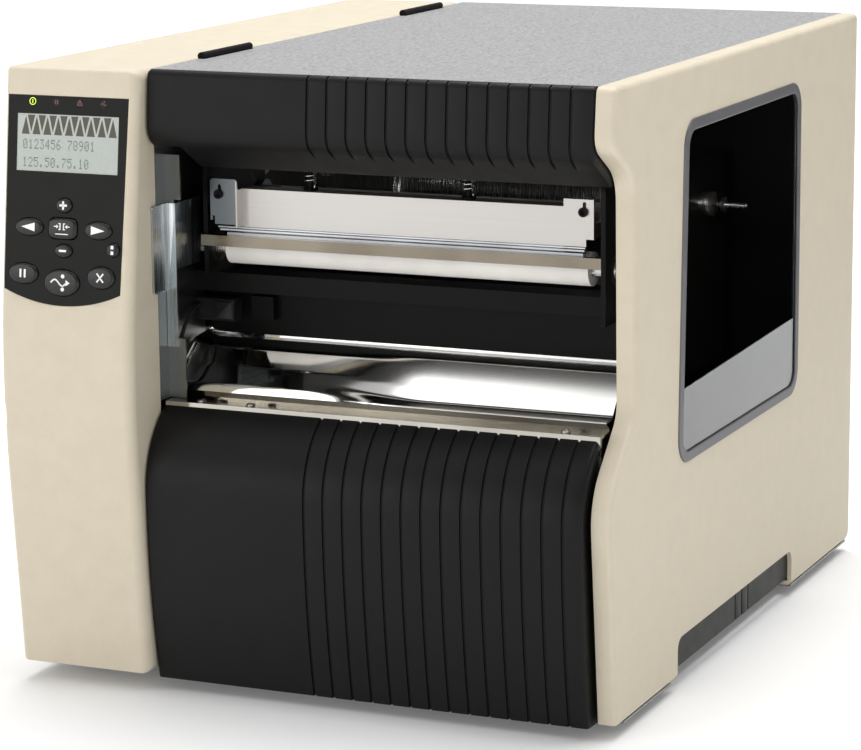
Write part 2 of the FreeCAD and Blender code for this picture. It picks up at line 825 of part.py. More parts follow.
def door_hinge_leaves():
    """Leaves under the lid, each with the two outer knuckles of its hinge."""
    leaves = []
    for y0, y1 in hinge_spans:
        third = (y1 - y0) / 3
        ends = [(y0, y0 + third - seat_gap / 2), (y1 - third + seat_gap / 2, y1)]
        pieces = [block(hinge_x + hinge_radius + 0.8, hinge_x + 30, y0, y1, lid_under_z - sheet, lid_under_z)]
        for a, b in ends:
            pieces.append(knuckle(a, b))
            pieces.append(block(hinge_x + 0.3, hinge_x + hinge_radius + 0.8, a, b,
                                lid_under_z - sheet, lid_under_z))
            pieces.append(block(hinge_x + 0.3, hinge_x + 1.8, a, b, lid_under_z - sheet, hinge_z - 1))
        leaves.append(fuse(pieces).cut(pin_hole(y0 - 1, y1 + 1)))
    return leaves


def fixed_hinge_leaves():
    """Leaves on the centre plate with the middle knuckles, and the two hinge pins."""
    parts = []
    for y0, y1 in hinge_spans:
        third = (y1 - y0) / 3
        a = y0 + third + seat_gap / 2
        b = y1 - third - seat_gap / 2
        upright = block(split_x, split_x + 1.3, a, b, top_z - 22, hinge_z)
        leaf = fuse([upright, knuckle(a, b)])
        bore = Part.makeCylinder(hinge_pin_radius, y1 - y0, V(hinge_x, y0, hinge_z), V(0, 1, 0))
        parts.append(leaf.cut(bore))
        parts.append(bore)
    return parts


# Print mechanism

def mechanism_side_plates():
    """Two black side plates on the cross beam, each with the stud that the print head tilts on."""
    plates = []
    spans = (
        (mech_left_x - plate, mech_left_x, beam_top_z, side_front_y + tear_thick),
        (mech_right_x, mech_right_x + plate, beam_top_z - side_plate_low, side_front_y),
    )
    for x0, x1, low_z, front in spans:
        points = [
            (front, low_z, 1.0),
            (side_back_y, low_z, 6.0),
            (side_back_y, side_top_z, 12.0),
            (front + 20, side_top_z + 15, 8.0),
            (front, side_top_z - 20, 8.0),
        ]
        body = prism_x(points, x0, x1)
        holes = [
            rod_x(bearing_outer, x0 - 1, x1 + 1, print_line_y, platen_z),
            rod_x(toggle_radius + running_fit, x0 - 1, x1 + 1, shaft_y, shaft_z),
            rod_x(idler_pin + running_fit, x0 - 1, x1 + 1, idler_axis_y, idler_z),
        ]
        body = cut_all(body, holes)
        if x0 < mech_mid_x:
            stud = rod_x(head_pin_radius, x0 + 1, head_x0 + sheet + 4, pivot_y, pivot_z)
        else:
            stud = rod_x(head_pin_radius, head_x1 - sheet - 4, x1 - 1, pivot_y, pivot_z)
        plates.append(fuse([body, stud]))
    return plates


def lower_cross_beam():
    """Black folded beam under the platen, its back wall closing the space behind the label guide."""
    top = block(split_x, mech_right_x, beam_front_y, beam_back_y, beam_top_z - sheet, beam_top_z)
    front = block(split_x, mech_right_x, beam_front_y, beam_front_y + sheet, beam_top_z - beam_height,
                  beam_top_z)
    back = block(split_x, mech_right_x, beam_back_y - sheet, beam_back_y, lip_z, beam_top_z)
    extension = block(mech_right_x - 1, chassis_right_x - beam_right_gap, beam_back_y - sheet, beam_back_y,
                      lip_z, beam_top_z - side_plate_low - beam_extension_gap)
    bracket = block(mech_left_x + 16.5, mech_left_x + 32, beam_back_y - 8, beam_back_y,
                    beam_top_z - 31.5, beam_top_z - 16.5)
    return fuse([top, front, back, extension, bracket])


def label_guide_plate():
    """Polished sheet the labels slide over: a shallow arch from the beam's wall, folded under in front."""
    thick = 1.2
    edge = V(guide_x0, front_y + guide_front, lip_z + guide_edge_rise)
    back = V(guide_x0, beam_back_y - sheet, beam_top_z - beam_height - guide_top_gap)
    out = V(0, edge.z - back.z, back.y - edge.y).normalize()
    crown = (edge + back) * 0.5 + out * guide_bulge
    foot = V(guide_x0, edge.y + guide_foot, lip_z)
    under = V(0, 0, -thick)
    inner_edge = edge + V(0, thick * 1.5, 0)
    inner_foot = foot + V(0, thick * 1.5, 0)
    edges = [
        Part.Arc(edge, crown, back).toShape(),
        Part.LineSegment(back, back + under).toShape(),
        Part.Arc(back + under, crown - out * thick, inner_edge).toShape(),
        Part.LineSegment(inner_edge, inner_foot).toShape(),
        Part.LineSegment(inner_foot, foot).toShape(),
        Part.LineSegment(foot, edge).toShape(),
    ]
    return Part.Face(Part.Wire(edges)).extrude(V(guide_x1 - guide_x0, 0, 0))


def tear_bar():
    """Bright tear bar between the side plates, in front of the platen."""
    z1 = top_z - tear_drop
    y0 = side_front_y
    return block(mech_left_x - plate, mech_right_x, y0, y0 + tear_thick, z1 - tear_height, z1)


def static_brush():
    """Anti-static brush: a holder between the side plates and a row of fine tufts."""
    y0 = front_y + brush_y
    z0 = top_z - 56.0
    holder = block(mech_left_x, mech_right_x, y0 - 1.0, y0 + 1.0, z0, z0 + 8)
    tip = top_z - brush_tip_drop
    x1 = mech_right_x - 19.0
    count = int(brush_length / 5)
    tufts = []
    for i in range(count):
        x = x1 - brush_length + 5 * i
        tufts.append(block(x, x + 4.2, y0 - 0.5, y0 + 0.5, tip, z0))
    return fuse([holder] + tufts)


def plate_xz(corners, y0, y1):
    """Flat plate across Y from (x, z) corners."""
    points = [V(x, y0, z) for x, z in corners]
    return Part.Face(Part.makePolygon(points + points[:1])).extrude(V(0, y1 - y0, 0))


def printhead_bracket():
    """Satin steel channel that holds the print head, with keyed end tabs and two arms to its pivots."""
    x0 = head_x0
    x1 = head_x1
    inner0 = x0 + head_tab_left - sheet
    inner1 = x1 - head_tab_right
    tab_top = head_top_z + head_tab_rise
    cut = head_tab_cut
    left_tab = plate_xz([
        (x0 + head_tab_step, head_low_z + head_tab_foot), (inner0 + sheet, head_low_z + head_tab_foot),
        (inner0 + sheet, tab_top - cut), (inner0 + sheet - cut, tab_top),
        (x0 + cut, tab_top), (x0, tab_top - cut), (x0, head_low_z + 8), (x0 + head_tab_step, head_low_z + 7),
    ], tab_y, tab_y + sheet)
    notch_x = x1 - head_tab_notch
    notch_z = head_low_z + 4.5
    right_tab = plate_xz([
        (inner1, head_low_z), (notch_x, head_low_z), (notch_x, notch_z), (x1, notch_z),
        (x1, tab_top - 2), (inner1, tab_top - 2),
    ], head_y, head_y + sheet)
    front = block(inner0, inner1 + sheet, head_y, head_y + sheet, head_low_z, head_top_z)
    top = block(inner0, inner1 + sheet, head_y, head_y + 14, head_top_z - sheet, head_top_z)
    step = block(inner0, inner0 + sheet, tab_y, head_y + sheet, head_low_z, head_top_z)
    pieces = [front, top, step, left_tab, right_tab]
    for outer, start in ((x0, tab_y), (x1 - sheet, head_y)):
        pieces.append(block(outer, outer + sheet, start, pivot_y, head_low_z + 4.5, head_low_z + 14))
        pieces.append(rod_x(8.0, outer, outer + sheet, pivot_y, pivot_z))
    pieces.append(block(x0 + sheet, x1 - sheet, pivot_y - 12, pivot_y - 12 + sheet, head_low_z, pivot_z + 6))
    body = fuse(pieces)
    holes = [rod_x(head_pin_radius + running_fit, x0 - 2, x1 + 2, pivot_y, pivot_z)]
    for x, y in head_screws:
        holes.append(Part.makeCylinder(1.6, 6, V(x, y - 2, head_screw_z), V(0, 1, 0)))
        holes.append(Part.makeCylinder(1.1, 6, V(x + 0.6, y - 2, head_screw_z + 5), V(0, 1, 0)))
        holes.append(block(x - 0.5, x + 1.7, y - 2, y + 4, head_screw_z, head_screw_z + 5))
    return cut_all(body, holes)


def printhead():
    """Finned aluminium head with its print edge just above the platen, and three thin front lips."""
    x0 = head_x0 + head_tab_left
    x1 = head_x1 - head_tab_right
    y0 = head_y + sheet
    low = platen_z + platen_radius + seat_gap
    body = block(x0, x1, y0, pivot_y - 14, head_low_z, head_low_z + 8)
    step = block(x0, x1, y0 - 0.6, y0 + 22, head_low_z - 3.4, head_low_z)
    lip_x1 = x1 + head_lip_right
    upper_lip = block(x0 - head_lip_left, lip_x1, y0 - 2.4, y0, head_low_z - 1.1, head_low_z - 0.3)
    lower_lip = block(x0 - head_lip_left + 2, lip_x1, y0 - 3.6, y0, head_low_z - 2.7, head_low_z - 1.6)
    shelf = block(x0 - head_lip_left + 8, lip_x1, y0 - 5.8, y0, head_low_z - 4.1, head_low_z - 3.4)
    front_lip = block(x0 - head_lip_left + 8, lip_x1, y0 - 5.8, y0 - 4.8, head_low_z - 6.0, head_low_z - 3.4)
    edge = block(x0 + 2, x1 - 2, y0 - 0.5, y0 + 18, low, head_low_z - 3.4)
    fins = [block(x0, x1, y, y + 1.2, head_low_z + 8, head_low_z + 12)
            for y in [y0 + 14 + 3.5 * i for i in range(6)]]
    return fuse([body, step, upper_lip, lower_lip, shelf, front_lip, edge] + fins)


def printhead_screws():
    """Two knob-headed screws that clamp the head behind its keyed tabs."""
    screws = []
    for x, y in head_screws:
        stem = Part.makeCylinder(1.55, 7, V(x, y, head_screw_z), V(0, 1, 0))
        head = Part.makeCylinder(2.9, 1.6, V(x, y - 1.6, head_screw_z), V(0, 1, 0))
        socket = Part.makeCylinder(1.2, 1.1, V(x, y - 1.7, head_screw_z), V(0, 1, 0))
        screws.append(fuse([stem, head]).cut(socket))
    return screws


def toggle_shaft():
    """Cross shaft with the two toggle arms that press the head down."""
    pieces = [rod_x(toggle_radius, mech_left_x - plate - 2, mech_right_x + plate + 7, shaft_y, shaft_z)]
    for x in toggle_xs:
        pieces.append(rod_x(8.0, x - 5, x + 5, shaft_y, shaft_z))
        pieces.append(block(x - 5, x + 5, push_y - 6, shaft_y, arm_low_z, arm_high_z))
    body = fuse(pieces)
    holes = [Part.makeCylinder(plunger_radius, 30, V(x, push_y, arm_low_z - 5)) for x in toggle_xs]
    return cut_all(body, holes)


def toggle_plungers():
    """Spring plungers through the toggle arms, each with a knurled adjuster on top."""
    plungers = []
    for x in toggle_xs:
        foot = Part.makeCylinder(plunger_foot_radius, plunger_foot, V(x, push_y, foot_z))
        stem = Part.makeCylinder(plunger_radius, arm_high_z + 4 - foot_z, V(x, push_y, foot_z))
        dial = Part.makeCylinder(5.0, 5.0, V(x, push_y, arm_high_z))
        plungers.append(fuse([foot, stem, dial]))
    return plungers


def arc_from(start, tangent, end):
    """Circular arc that leaves a point along a direction and ends at another point."""
    chord = end - start
    along = V(chord).normalize()
    lean = tangent - along * tangent.dot(along)
    if lean.Length < 1e-7:
        return Part.LineSegment(start, end).toShape()
    half = math.acos(max(-1.0, min(1.0, tangent.dot(along))))
    sagitta = chord.Length / 2 * math.tan(half / 2)
    middle = (start + end) * 0.5 + lean.normalize() * sagitta
    return Part.Arc(start, middle, end).toShape()


def biarc(start, tangent, end, end_tangent):
    """Two tangent arcs between two points with given directions."""
    span = end - start
    both = tangent + end_tangent
    bend = 2 * (1 - tangent.dot(end_tangent))
    reach = span.dot(both)
    if bend < 1e-9:
        size = span.Length ** 2 / (2 * reach)
    else:
        size = (-reach + math.sqrt(reach ** 2 + bend * span.Length ** 2)) / bend
    joint = (start + end + (tangent - end_tangent) * size) * 0.5
    first = arc_from(start, tangent, joint)
    back = arc_from(end, end_tangent * -1, joint)
    back.reverse()
    return [first, back]


def coil_path(x, y, low_z, pitch, turns):
    """Wire path of a spring: a straight foot, quarter-turn biarcs, and a straight end."""
    rise = spring_wire * 2.2
    quarter = pitch / 4

    def place(step):
        angle = math.pi / 2 * step
        z = low_z + spring_wire + rise + quarter * step
        return V(x + spring_radius * math.cos(angle), y + spring_radius * math.sin(angle), z)

    def heading(step):
        angle = math.pi / 2 * step
        lead = pitch / (2 * math.pi)
        return V(-spring_radius * math.sin(angle), spring_radius * math.cos(angle), lead).normalize()

    up = V(0, 0, 1)
    steps = turns * 4
    first = place(0)
    foot = V(first.x, first.y - rise, low_z)
    last = place(steps)
    head = V(last.x, last.y + rise, last.z + rise + spring_wire)
    edges = [Part.LineSegment(foot, foot + up * spring_wire).toShape()]
    edges += biarc(foot + up * spring_wire, up, first, heading(0))
    for step in range(steps):
        edges += biarc(place(step), heading(step), place(step + 1), heading(step + 1))
    edges += biarc(last, heading(steps), head - up * spring_wire, up)
    edges.append(Part.LineSegment(head - up * spring_wire, head).toShape())
    return Part.Wire(edges), foot, head.z


def pressure_springs():
    """Compression springs around the plungers, wound as one wire each."""
    springs = []
    ends = 2 * (spring_wire + spring_wire * 2.2)
    pitch = (arm_low_z - seat_gap - foot_top_z - ends) / spring_turns
    for x in toggle_xs:
        path, foot, top = coil_path(x, push_y, foot_top_z, pitch, spring_turns)
        section = Part.Wire(Part.Circle(foot, V(0, 0, 1), spring_wire / 2).toShape())
        sweep = Part.BRepOffsetAPI.MakePipeShell(path)
        sweep.add(section)
        sweep.build()
        sweep.makeSolid()
        springs.append(sweep.shape())
    print(f"spring: least gap between turns {pitch - spring_wire:.2f} mm, top at {top:.2f},"
          f" arm at {arm_low_z:.2f}")
    return springs


def head_lever():
    """Release lever on the right end of the toggle shaft."""
    x0 = mech_right_x + plate + 1.2
    x1 = x0 + 5.5
    hub = rod_x(9.0, x0, x1, shaft_y, shaft_z)
    lean = math.radians(-10)
    tip_y = shaft_y + lever_length * math.cos(lean)
    tip_z = shaft_z + lever_length * math.sin(lean)
    across = V(0, -math.sin(lean), math.cos(lean)) * (lever_wide / 2)
    base = V(x0, shaft_y, shaft_z)
    tip = V(x0, tip_y, tip_z)
    outline = Part.makePolygon([base + across, tip + across * 0.8, tip - across * 0.8, base - across,
                                base + across])
    arm = Part.Face(outline).extrude(V(x1 - x0, 0, 0))
    handle = rod_x(lever_wide * 0.4, x0, x1, tip_y, tip_z)
    lever = fuse([hub, arm, handle])
    return lever.cut(rod_x(toggle_radius, x0 - 1, x1 + 1, shaft_y, shaft_z))


def platen_roller():
    x0 = mech_left_x + platen_left
    x1 = mech_right_x - platen_right
    return ring_x(platen_radius, platen_core, x0, x1, print_line_y, platen_z)


def platen_shaft():
    """Through shaft of the platen with the driven pulley pressed on its end in the bay."""
    shaft = rod_x(platen_core, pulley_left_x - 2, mech_right_x + plate, print_line_y, platen_z)
    return fuse([shaft, toothed_pulley(pulley_radius, platen_core - 1, print_line_y, platen_z)])


def toothed_pulley(radius, bore, y, z):
    """Belt pulley with flanges on both sides of its toothed rim."""
    body = rod_x(radius, pulley_left_x, pulley_right_x, y, z)
    flanges = [rod_x(radius + 1.6, pulley_left_x - 1, pulley_left_x, y, z),
               rod_x(radius + 1.6, pulley_right_x, pulley_right_x + 1, y, z)]
    return fuse([body] + flanges).cut(rod_x(bore, pulley_left_x - 3, pulley_right_x + 3, y, z))


def drive_belt():
    """Timing belt round both pulleys, held just clear of their rims."""
    gap = 0.1
    big = pulley_radius + gap
    small = motor_pulley_radius + gap
    a = V(0, print_line_y, platen_z)
    b = V(0, motor_axis_y, motor_z)
    inner = belt_loop(a, big, b, small, pulley_left_x + 0.5, pulley_right_x - 0.5)
    outer = belt_loop(a, big + belt_thick, b, small + belt_thick, pulley_left_x + 0.5, pulley_right_x - 0.5)
    return outer.cut(inner)


def belt_loop(a, big, b, small, x0, x1):
    """Filled loop of a belt round two circles in the YZ plane, joined by their outer tangents."""
    span = b - a
    along = V(span).normalize()
    across = V(0, -along.z, along.y)
    lean = math.asin((big - small) / span.Length)
    edges = []
    ends = []
    for side in (1, -1):
        out = across * (side * math.cos(lean)) + along * math.sin(lean)
        ends.append((a + out * big, b + out * small))
    edges.append(Part.LineSegment(ends[0][0], ends[0][1]).toShape())
    edges.append(Part.Arc(ends[0][1], b + along * small, ends[1][1]).toShape())
    edges.append(Part.LineSegment(ends[1][1], ends[1][0]).toShape())
    edges.append(Part.Arc(ends[1][0], a - along * big, ends[0][0]).toShape())
    face = Part.Face(Part.Wire(edges))
    face.translate(V(x0, 0, 0))
    return face.extrude(V(x1 - x0, 0, 0))


def motor_pulley():
    body = toothed_pulley(motor_pulley_radius, 1.0, motor_axis_y, motor_z)
    shaft = rod_x(motor_shaft_radius, plate_left_x - motor_stand_off - 12, pulley_right_x + 2,
                  motor_axis_y, motor_z)
    return fuse([body, shaft])


def platen_motor():
    """Stepper motor on four stand-off posts from the centre plate."""
    x1 = plate_left_x - motor_stand_off
    x0 = x1 - motor_length
    half = motor_side / 2
    body = block(x0, x1, motor_axis_y - half, motor_axis_y + half, motor_z - half, motor_z + half)
    body = body.makeFillet(4.0, [e for e in body.Edges if e.BoundBox.XLength > motor_length - 1])
    posts = []
    for sy in (-1, 1):
        for sz in (-1, 1):
            posts.append(rod_x(4.0, x1, plate_left_x, motor_axis_y + sy * (half - 6), motor_z + sz * (half - 6)))
    bore = rod_x(motor_shaft_radius + running_fit, x1 - 13, x1 + 1, motor_axis_y, motor_z)
    return fuse([body] + posts).cut(bore)


def shaft_bearings():
    """Bearing rings of the platen and of both ribbon spindles."""
    rings = []
    spans = (
        (plate_left_x, split_x, print_line_y, platen_z, platen_core),
        (mech_left_x - plate, mech_left_x, print_line_y, platen_z, platen_core),
        (mech_right_x, mech_right_x + plate, print_line_y, platen_z, platen_core),
        (plate_left_x, split_x, supply_axis_y, supply_z, spindle_radius),
        (plate_left_x, split_x, takeup_axis_y, takeup_z, spindle_radius),
    )
    for x0, x1, y, z, bore in spans:
        rings.append(ring_x(bearing_outer, bore + running_fit, x0, x1, y, z))
    return rings


def ribbon_spindle(y, z, reach):
    """Ribbon spindle: shaft, hub with three blades, inner flange and the drive wheel in the bay."""
    end = door_inner_x - reach
    shaft = rod_x(spindle_radius, plate_left_x - 14, end, y, z)
    wheel = rod_x(16.0, plate_left_x - 12, plate_left_x - 4, y, z)
    flange = rod_x(spindle_flange, split_x + 2, split_x + 4, y, z)
    hub = rod_x(spindle_core, split_x + 2, end - 10, y, z)
    blades = []
    for i in range(3):
        blade = block(split_x + 4, end - 16, y - 1.2, y + 1.2, z, z + spindle_core + 2.2)
        blade.rotate(V(0, y, z), V(1, 0, 0), 120 * i)
        blades.append(blade)
    cap = Part.makeCone(spindle_core, spindle_core - 3, 4, V(end - 10, y, z), V(1, 0, 0))
    return fuse([shaft, wheel, flange, hub, cap] + blades)


def guide_roller():
    """Idler roller behind the platen, turning on its own journals in the side plates."""
    body = rod_x(idler_radius, mech_left_x + 0.6, mech_right_x - 0.6, idler_axis_y, idler_z)
    journal = rod_x(idler_pin, mech_left_x - plate, mech_right_x + plate, idler_axis_y, idler_z)
    return fuse([body, journal])


def media_hanger():
    """Supply bar for the label roll, on a foot on the centre plate, with a stepped free end."""
    y = hanger_axis_y
    z = hanger_z
    end = door_inner_x - hanger_reach
    foot = rod_x(20.0, split_x, split_x + 3, y, z)
    bar = rod_x(hanger_radius, split_x, end, y, z)
    collar = rod_x(hanger_radius + 0.8, end, end + 6, y, z)
    stem = rod_x(1.8, end, end + 30, y, z)
    disc = rod_x(5.5, end + 12, end + 14, y, z)
    return fuse([foot, bar, collar, stem, disc])


def media_guide():
    """Tall guide that slides along the hanger and stops the roll."""
    y = hanger_axis_y
    z = hanger_z
    x1 = door_inner_x - hanger_reach - 3
    x0 = x1 - 3
    points = [
        (y - guide_wide / 2, z - guide_tall * 0.72, 12.0),
        (y + guide_wide / 2 - 4, z - guide_tall * 0.72, 12.0),
        (y + guide_wide / 2 - 4, z + guide_tall * 0.2, 12.0),
        (y - guide_wide / 2, z + guide_tall * 0.2, 12.0),
    ]
    flat = prism_x(points, x0, x1)
    sleeve = rod_x(hanger_radius + 4, x0 - 16, x1, y, z)
    return fuse([flat, sleeve]).cut(rod_x(hanger_radius + running_fit, x0 - 20, x1 + 5, y, z))


def dancer_arm():
    """Sprung dancer: an arm on a stub at the plate, carrying the bar that the web runs under."""
    y = front_y + dancer_y
    z = dancer_z
    tip_y = y - dancer_arm_length * math.cos(math.radians(35))
    tip_z = z + dancer_arm_length * math.sin(math.radians(35))
    x0 = split_x + 2.3
    x1 = x0 + 4
    across = V(0, math.sin(math.radians(35)), math.cos(math.radians(35))) * 6
    base = V(x0, y, z)
    tip = V(x0, tip_y, tip_z)
    outline = Part.makePolygon([base + across, tip + across, tip - across, base - across, base + across])
    arm = Part.Face(outline).extrude(V(x1 - x0, 0, 0))
    hub = rod_x(9.0, x0, x1 + 4, y, z)
    knob = rod_x(6.0, x0, x1, tip_y, tip_z)
    bar = rod_x(dancer_bar_radius, x0, door_inner_x - 24, tip_y, tip_z)
    return fuse([arm, hub, knob, bar]).cut(rod_x(dancer_stub + running_fit, x0 - 1, x1 + 5, y, z))


def dancer_stub_pin():
    """Stub on the centre plate that the dancer turns on, with a snap head."""
    y = front_y + dancer_y
    stub = rod_x(dancer_stub, split_x, split_x + 12, y, dancer_z)
    foot = rod_x(8.0, split_x, split_x + 2, y, dancer_z)
    head = rod_x(5.5, split_x + 10.6, split_x + 12.6, y, dancer_z)
    return fuse([stub, foot, head])


# Control panel: local X runs right from the cover's left face, local Y up the slope, local Z outwards

def placed_on_slope(shape, out):
    """Moves a shape from the panel's own axes to its place on the sloped front, out along the normal."""
    outline = cover_outline()
    top_y = outline[0][0]
    lean = math.radians(bow_lean_upper)
    right = V(1, 0, 0)
    up_slope = V(0, math.sin(lean), math.cos(lean))
    outward = V(0, -math.cos(lean), math.sin(lean))
    origin = V(left_x, top_y, top_z) + outward * out
    turn = FreeCAD.Rotation(right, up_slope, outward, "XYZ")
    moved = shape.copy()
    moved.Placement = FreeCAD.Placement(origin, turn).multiply(moved.Placement)
    return moved


def bezel_face(grow):
    """Bezel outline on the slope: a right side that draws in and a bowed lower edge, grown by a clearance."""
    x0 = bezel_left - grow
    x1 = bay_width - bezel_right + grow
    x2 = x1 - bezel_taper
    y_top = -bezel_start + grow
    y_side = -bezel_corner
    y_low = -bezel_end - grow
    mid = V((x0 + x2) / 2, y_low, 0)
    edges = [
        Part.LineSegment(V(x0, y_top, 0), V(x1, y_top, 0)).toShape(),
        Part.LineSegment(V(x1, y_top, 0), V(x2, y_side, 0)).toShape(),
        Part.Arc(V(x2, y_side, 0), mid, V(x0, y_side, 0)).toShape(),
        Part.LineSegment(V(x0, y_side, 0), V(x0, y_top, 0)).toShape(),
    ]
    return Part.Face(Part.Wire(edges))


def oval(cx, cy, wide, tall, z0, z1):
    """Oval or round post between two heights of the panel's own axes."""
    if abs(wide - tall) < 1e-6:
        return Part.makeCylinder(wide / 2, z1 - z0, V(cx, cy, z0))
    if wide > tall:
        curve = Part.Ellipse(V(cx, cy, z0), wide / 2, tall / 2)
    else:
        curve = Part.Ellipse(V(cx, cy + tall / 2, z0), V(cx + wide / 2, cy, z0), V(cx, cy, z0))
    return Part.Face(Part.Wire(curve.toShape())).extrude(V(0, 0, z1 - z0))


def bar_button(cx, cy, wide, tall, z0, z1):
    """Rounded square post."""
    post = Part.makeBox(wide, tall, z1 - z0, V(cx - wide / 2, cy - tall / 2, z0))
    uprights = [edge for edge in post.Edges if edge.BoundBox.ZLength > z1 - z0 - 1e-6]
    return post.makeFillet(4.5, uprights)


def button_post(name, cx, along, wide, tall, z0, z1):
    if name == "button_setup":
        return bar_button(cx, -along, wide, tall, z0, z1)
    return oval(cx, -along, wide, tall, z0, z1)


def control_bezel():
    """Dark bezel set into the cover, with holes for the keys, lamps and display."""
    body = bezel_face(0).extrude(V(0, 0, bezel_thick))
    holes = []
    for name, cx, along, wide, tall in buttons:
        holes.append(button_post(name, cx, along, wide + 2 * button_gap, tall + 2 * button_gap, -1,
                                 bezel_thick + 1))
    for cx in lamp_places:
        holes.append(Part.makeCylinder(lamp_radius, bezel_thick + 2, V(cx, -lamp_along, -1)))
    holes.append(Part.makeBox(display_right - display_left, display_end - display_start, bezel_thick + 2,
                              V(display_left, -display_end, -1)))
    return placed_on_slope(cut_all(body, holes), -bezel_thick)


def keys():
    """Each key is a cap through the bezel on a smaller stem that reaches its switch on the board."""
    for name, cx, along, wide, tall in buttons:
        crown = bezel_thick + button_proud
        cap = button_post(name, cx, along, wide, tall, bezel_thick - key_cap_depth, crown)
        rim = [edge for edge in cap.Edges if edge.BoundBox.ZMin > crown - 1e-6]
        cap = cap.makeFillet(button_round, rim)
        stem_low = -board_depth + button_travel + seat_gap
        stem = Part.makeCylinder(2.5, bezel_thick - key_cap_depth - stem_low, V(cx, -along, stem_low))
        save(name, placed_on_slope(fuse([cap, stem]), -bezel_thick))


def control_board():
    """Key and display board behind the bezel, held by posts, with the display on its upper part."""
    low = -board_depth - board_thick
    board = Part.makeBox(bay_width - 24, bezel_corner - bezel_start - 8, board_thick,
                         V(12, -(bezel_corner - 3), low))
    display = Part.makeBox(display_right - display_left - 8, display_end - display_start + 3,
                           board_depth - seat_gap, V(display_left + 4, -(display_end + 1.5), -board_depth))
    pieces = [board, display]
    for cx in (board_post_left, bay_width - board_post_right):
        for along in board_post_rows:
            pieces.append(Part.makeCylinder(2.0, board_depth, V(cx, -along, -board_depth)))
    for cx in lamp_places:
        pieces.append(Part.makeCylinder(1.5, board_depth - seat_gap, V(cx, -lamp_along, -board_depth)))
    pieces.append(Part.makeBox(bay_width - 30, 8, board_thick, V(15, -(lamp_along + 5), low)))
    return placed_on_slope(fuse(pieces), -bezel_thick)


def status_lenses():
    lenses = []
    for cx in lamp_places:
        lens = Part.makeCylinder(lamp_radius, bezel_thick, V(cx, -lamp_along, 0))
        lenses.append(placed_on_slope(lens, -bezel_thick))
    return lenses


def display_window():
    pane = Part.makeBox(display_right - display_left, display_end - display_start, bezel_thick - 0.3,
                        V(display_left, -display_end, 0))
    return placed_on_slope(pane, -bezel_thick)


# Electronics bay and back

def main_board():
    """Main board on stand-offs at the centre plate, with its larger parts."""
    x1 = plate_left_x - 6
    y0 = supply_axis_y + 30
    y1 = rear_plate_y - 14
    z0 = floor_z + 81.5
    z1 = top_z - 108
    board = block(x1 - 1.6, x1, y0, y1, z0, z1)
    pieces = [board]
    for y in (y0 + 8, y1 - 8):
        for z in (z0 + 8, z1 - 8):
            pieces.append(rod_x(3.0, x1, plate_left_x, y, z))
    pieces.append(block(x1 - 9, x1 - 1.6, y0 + 50, y0 + 85, z0 + 60, z0 + 95))
    pieces.append(block(x1 - 14, x1 - 1.6, y0 + 20, y0 + 30, z0 + 20, z0 + 90))
    pieces.append(block(x1 - 12, x1 - 1.6, y0 + 110, y0 + 122, z0 + 30, z0 + 80))
    for i in range(4):
        pieces.append(rod_x(5.0, x1 - 22, x1 - 1.6, y0 + 60 + 14 * i, z0 + 20))
    return fuse(pieces)


def power_supply():
    """Cased power supply on the floor of the bay."""
    x0 = cover_inner_x + 6
    case = block(x0, plate_left_x - 6, rear_plate_y - 190, rear_plate_y - 36, floor_z, floor_z + 62)
    slots = []
    for i in range(10):
        y = rear_plate_y - 178 + i * 14
        slots.append(block(x0 - 1, x0 + 1, y, y + 5, floor_z + 14, floor_z + 48))
    return cut_all(case, slots)


def inlet_module():
    """Mains inlet beside its power switch frame, in the lower back of the bay."""
    back = rear_plate_y + sheet
    body = block(inlet_x0 + 0.2, inlet_x1 - 0.2, back - 26, back + 2, inlet_z0 + 0.2, inlet_z1 - 0.2)
    flange = block(inlet_x0 - 3, inlet_x1 + 3, back, back + 2, inlet_z0 - 3, inlet_z1 + 3)
    socket = block(inlet_x0 + 3, inlet_x0 + 25, back - 12, back + 3, inlet_z0 + 6, inlet_z1 - 6)
    pins = []
    for x in (inlet_x0 + 8, inlet_x0 + 14, inlet_x0 + 20):
        pins.append(block(x - 1, x + 1, back - 12, back - 2, (inlet_z0 + inlet_z1) / 2 - 2,
                          (inlet_z0 + inlet_z1) / 2 + 2))
    well = block(rocker_x0 - 0.4, rocker_x1 + 0.4, back - 10, back + 3, rocker_z0 - 0.4, rocker_z1 + 0.4)
    body = fuse([body, flange])
    body = cut_all(body, [socket, well])
    axle = rod_x(1.0, rocker_x0 - 1, rocker_x1 + 1, rocker_y, rocker_z)
    return fuse([body, axle] + pins)


def power_rocker():
    """Rocker of the power switch, on the axle across its well."""
    reach = (rocker_z1 - rocker_z0) / 2 - 1.2
    points = [
        (rocker_y - 3.5, rocker_z - reach + 3, 1.0),
        (rocker_y + 2.0, rocker_z - reach, 0.8),
        (rocker_y + 4.2, rocker_z, 0),
        (rocker_y + 2.0, rocker_z + reach, 0.8),
        (rocker_y - 3.5, rocker_z + reach - 3, 1.0),
    ]
    rocker = prism_x(points, rocker_x0, rocker_x1).cut(
        rod_x(1.0 + running_fit, rocker_x0 - 1, rocker_x1 + 1, rocker_y, rocker_z))
    rocker.rotate(V(rocker_x0, rocker_y, rocker_z), V(1, 0, 0), -rocker_tilt)
    return rocker


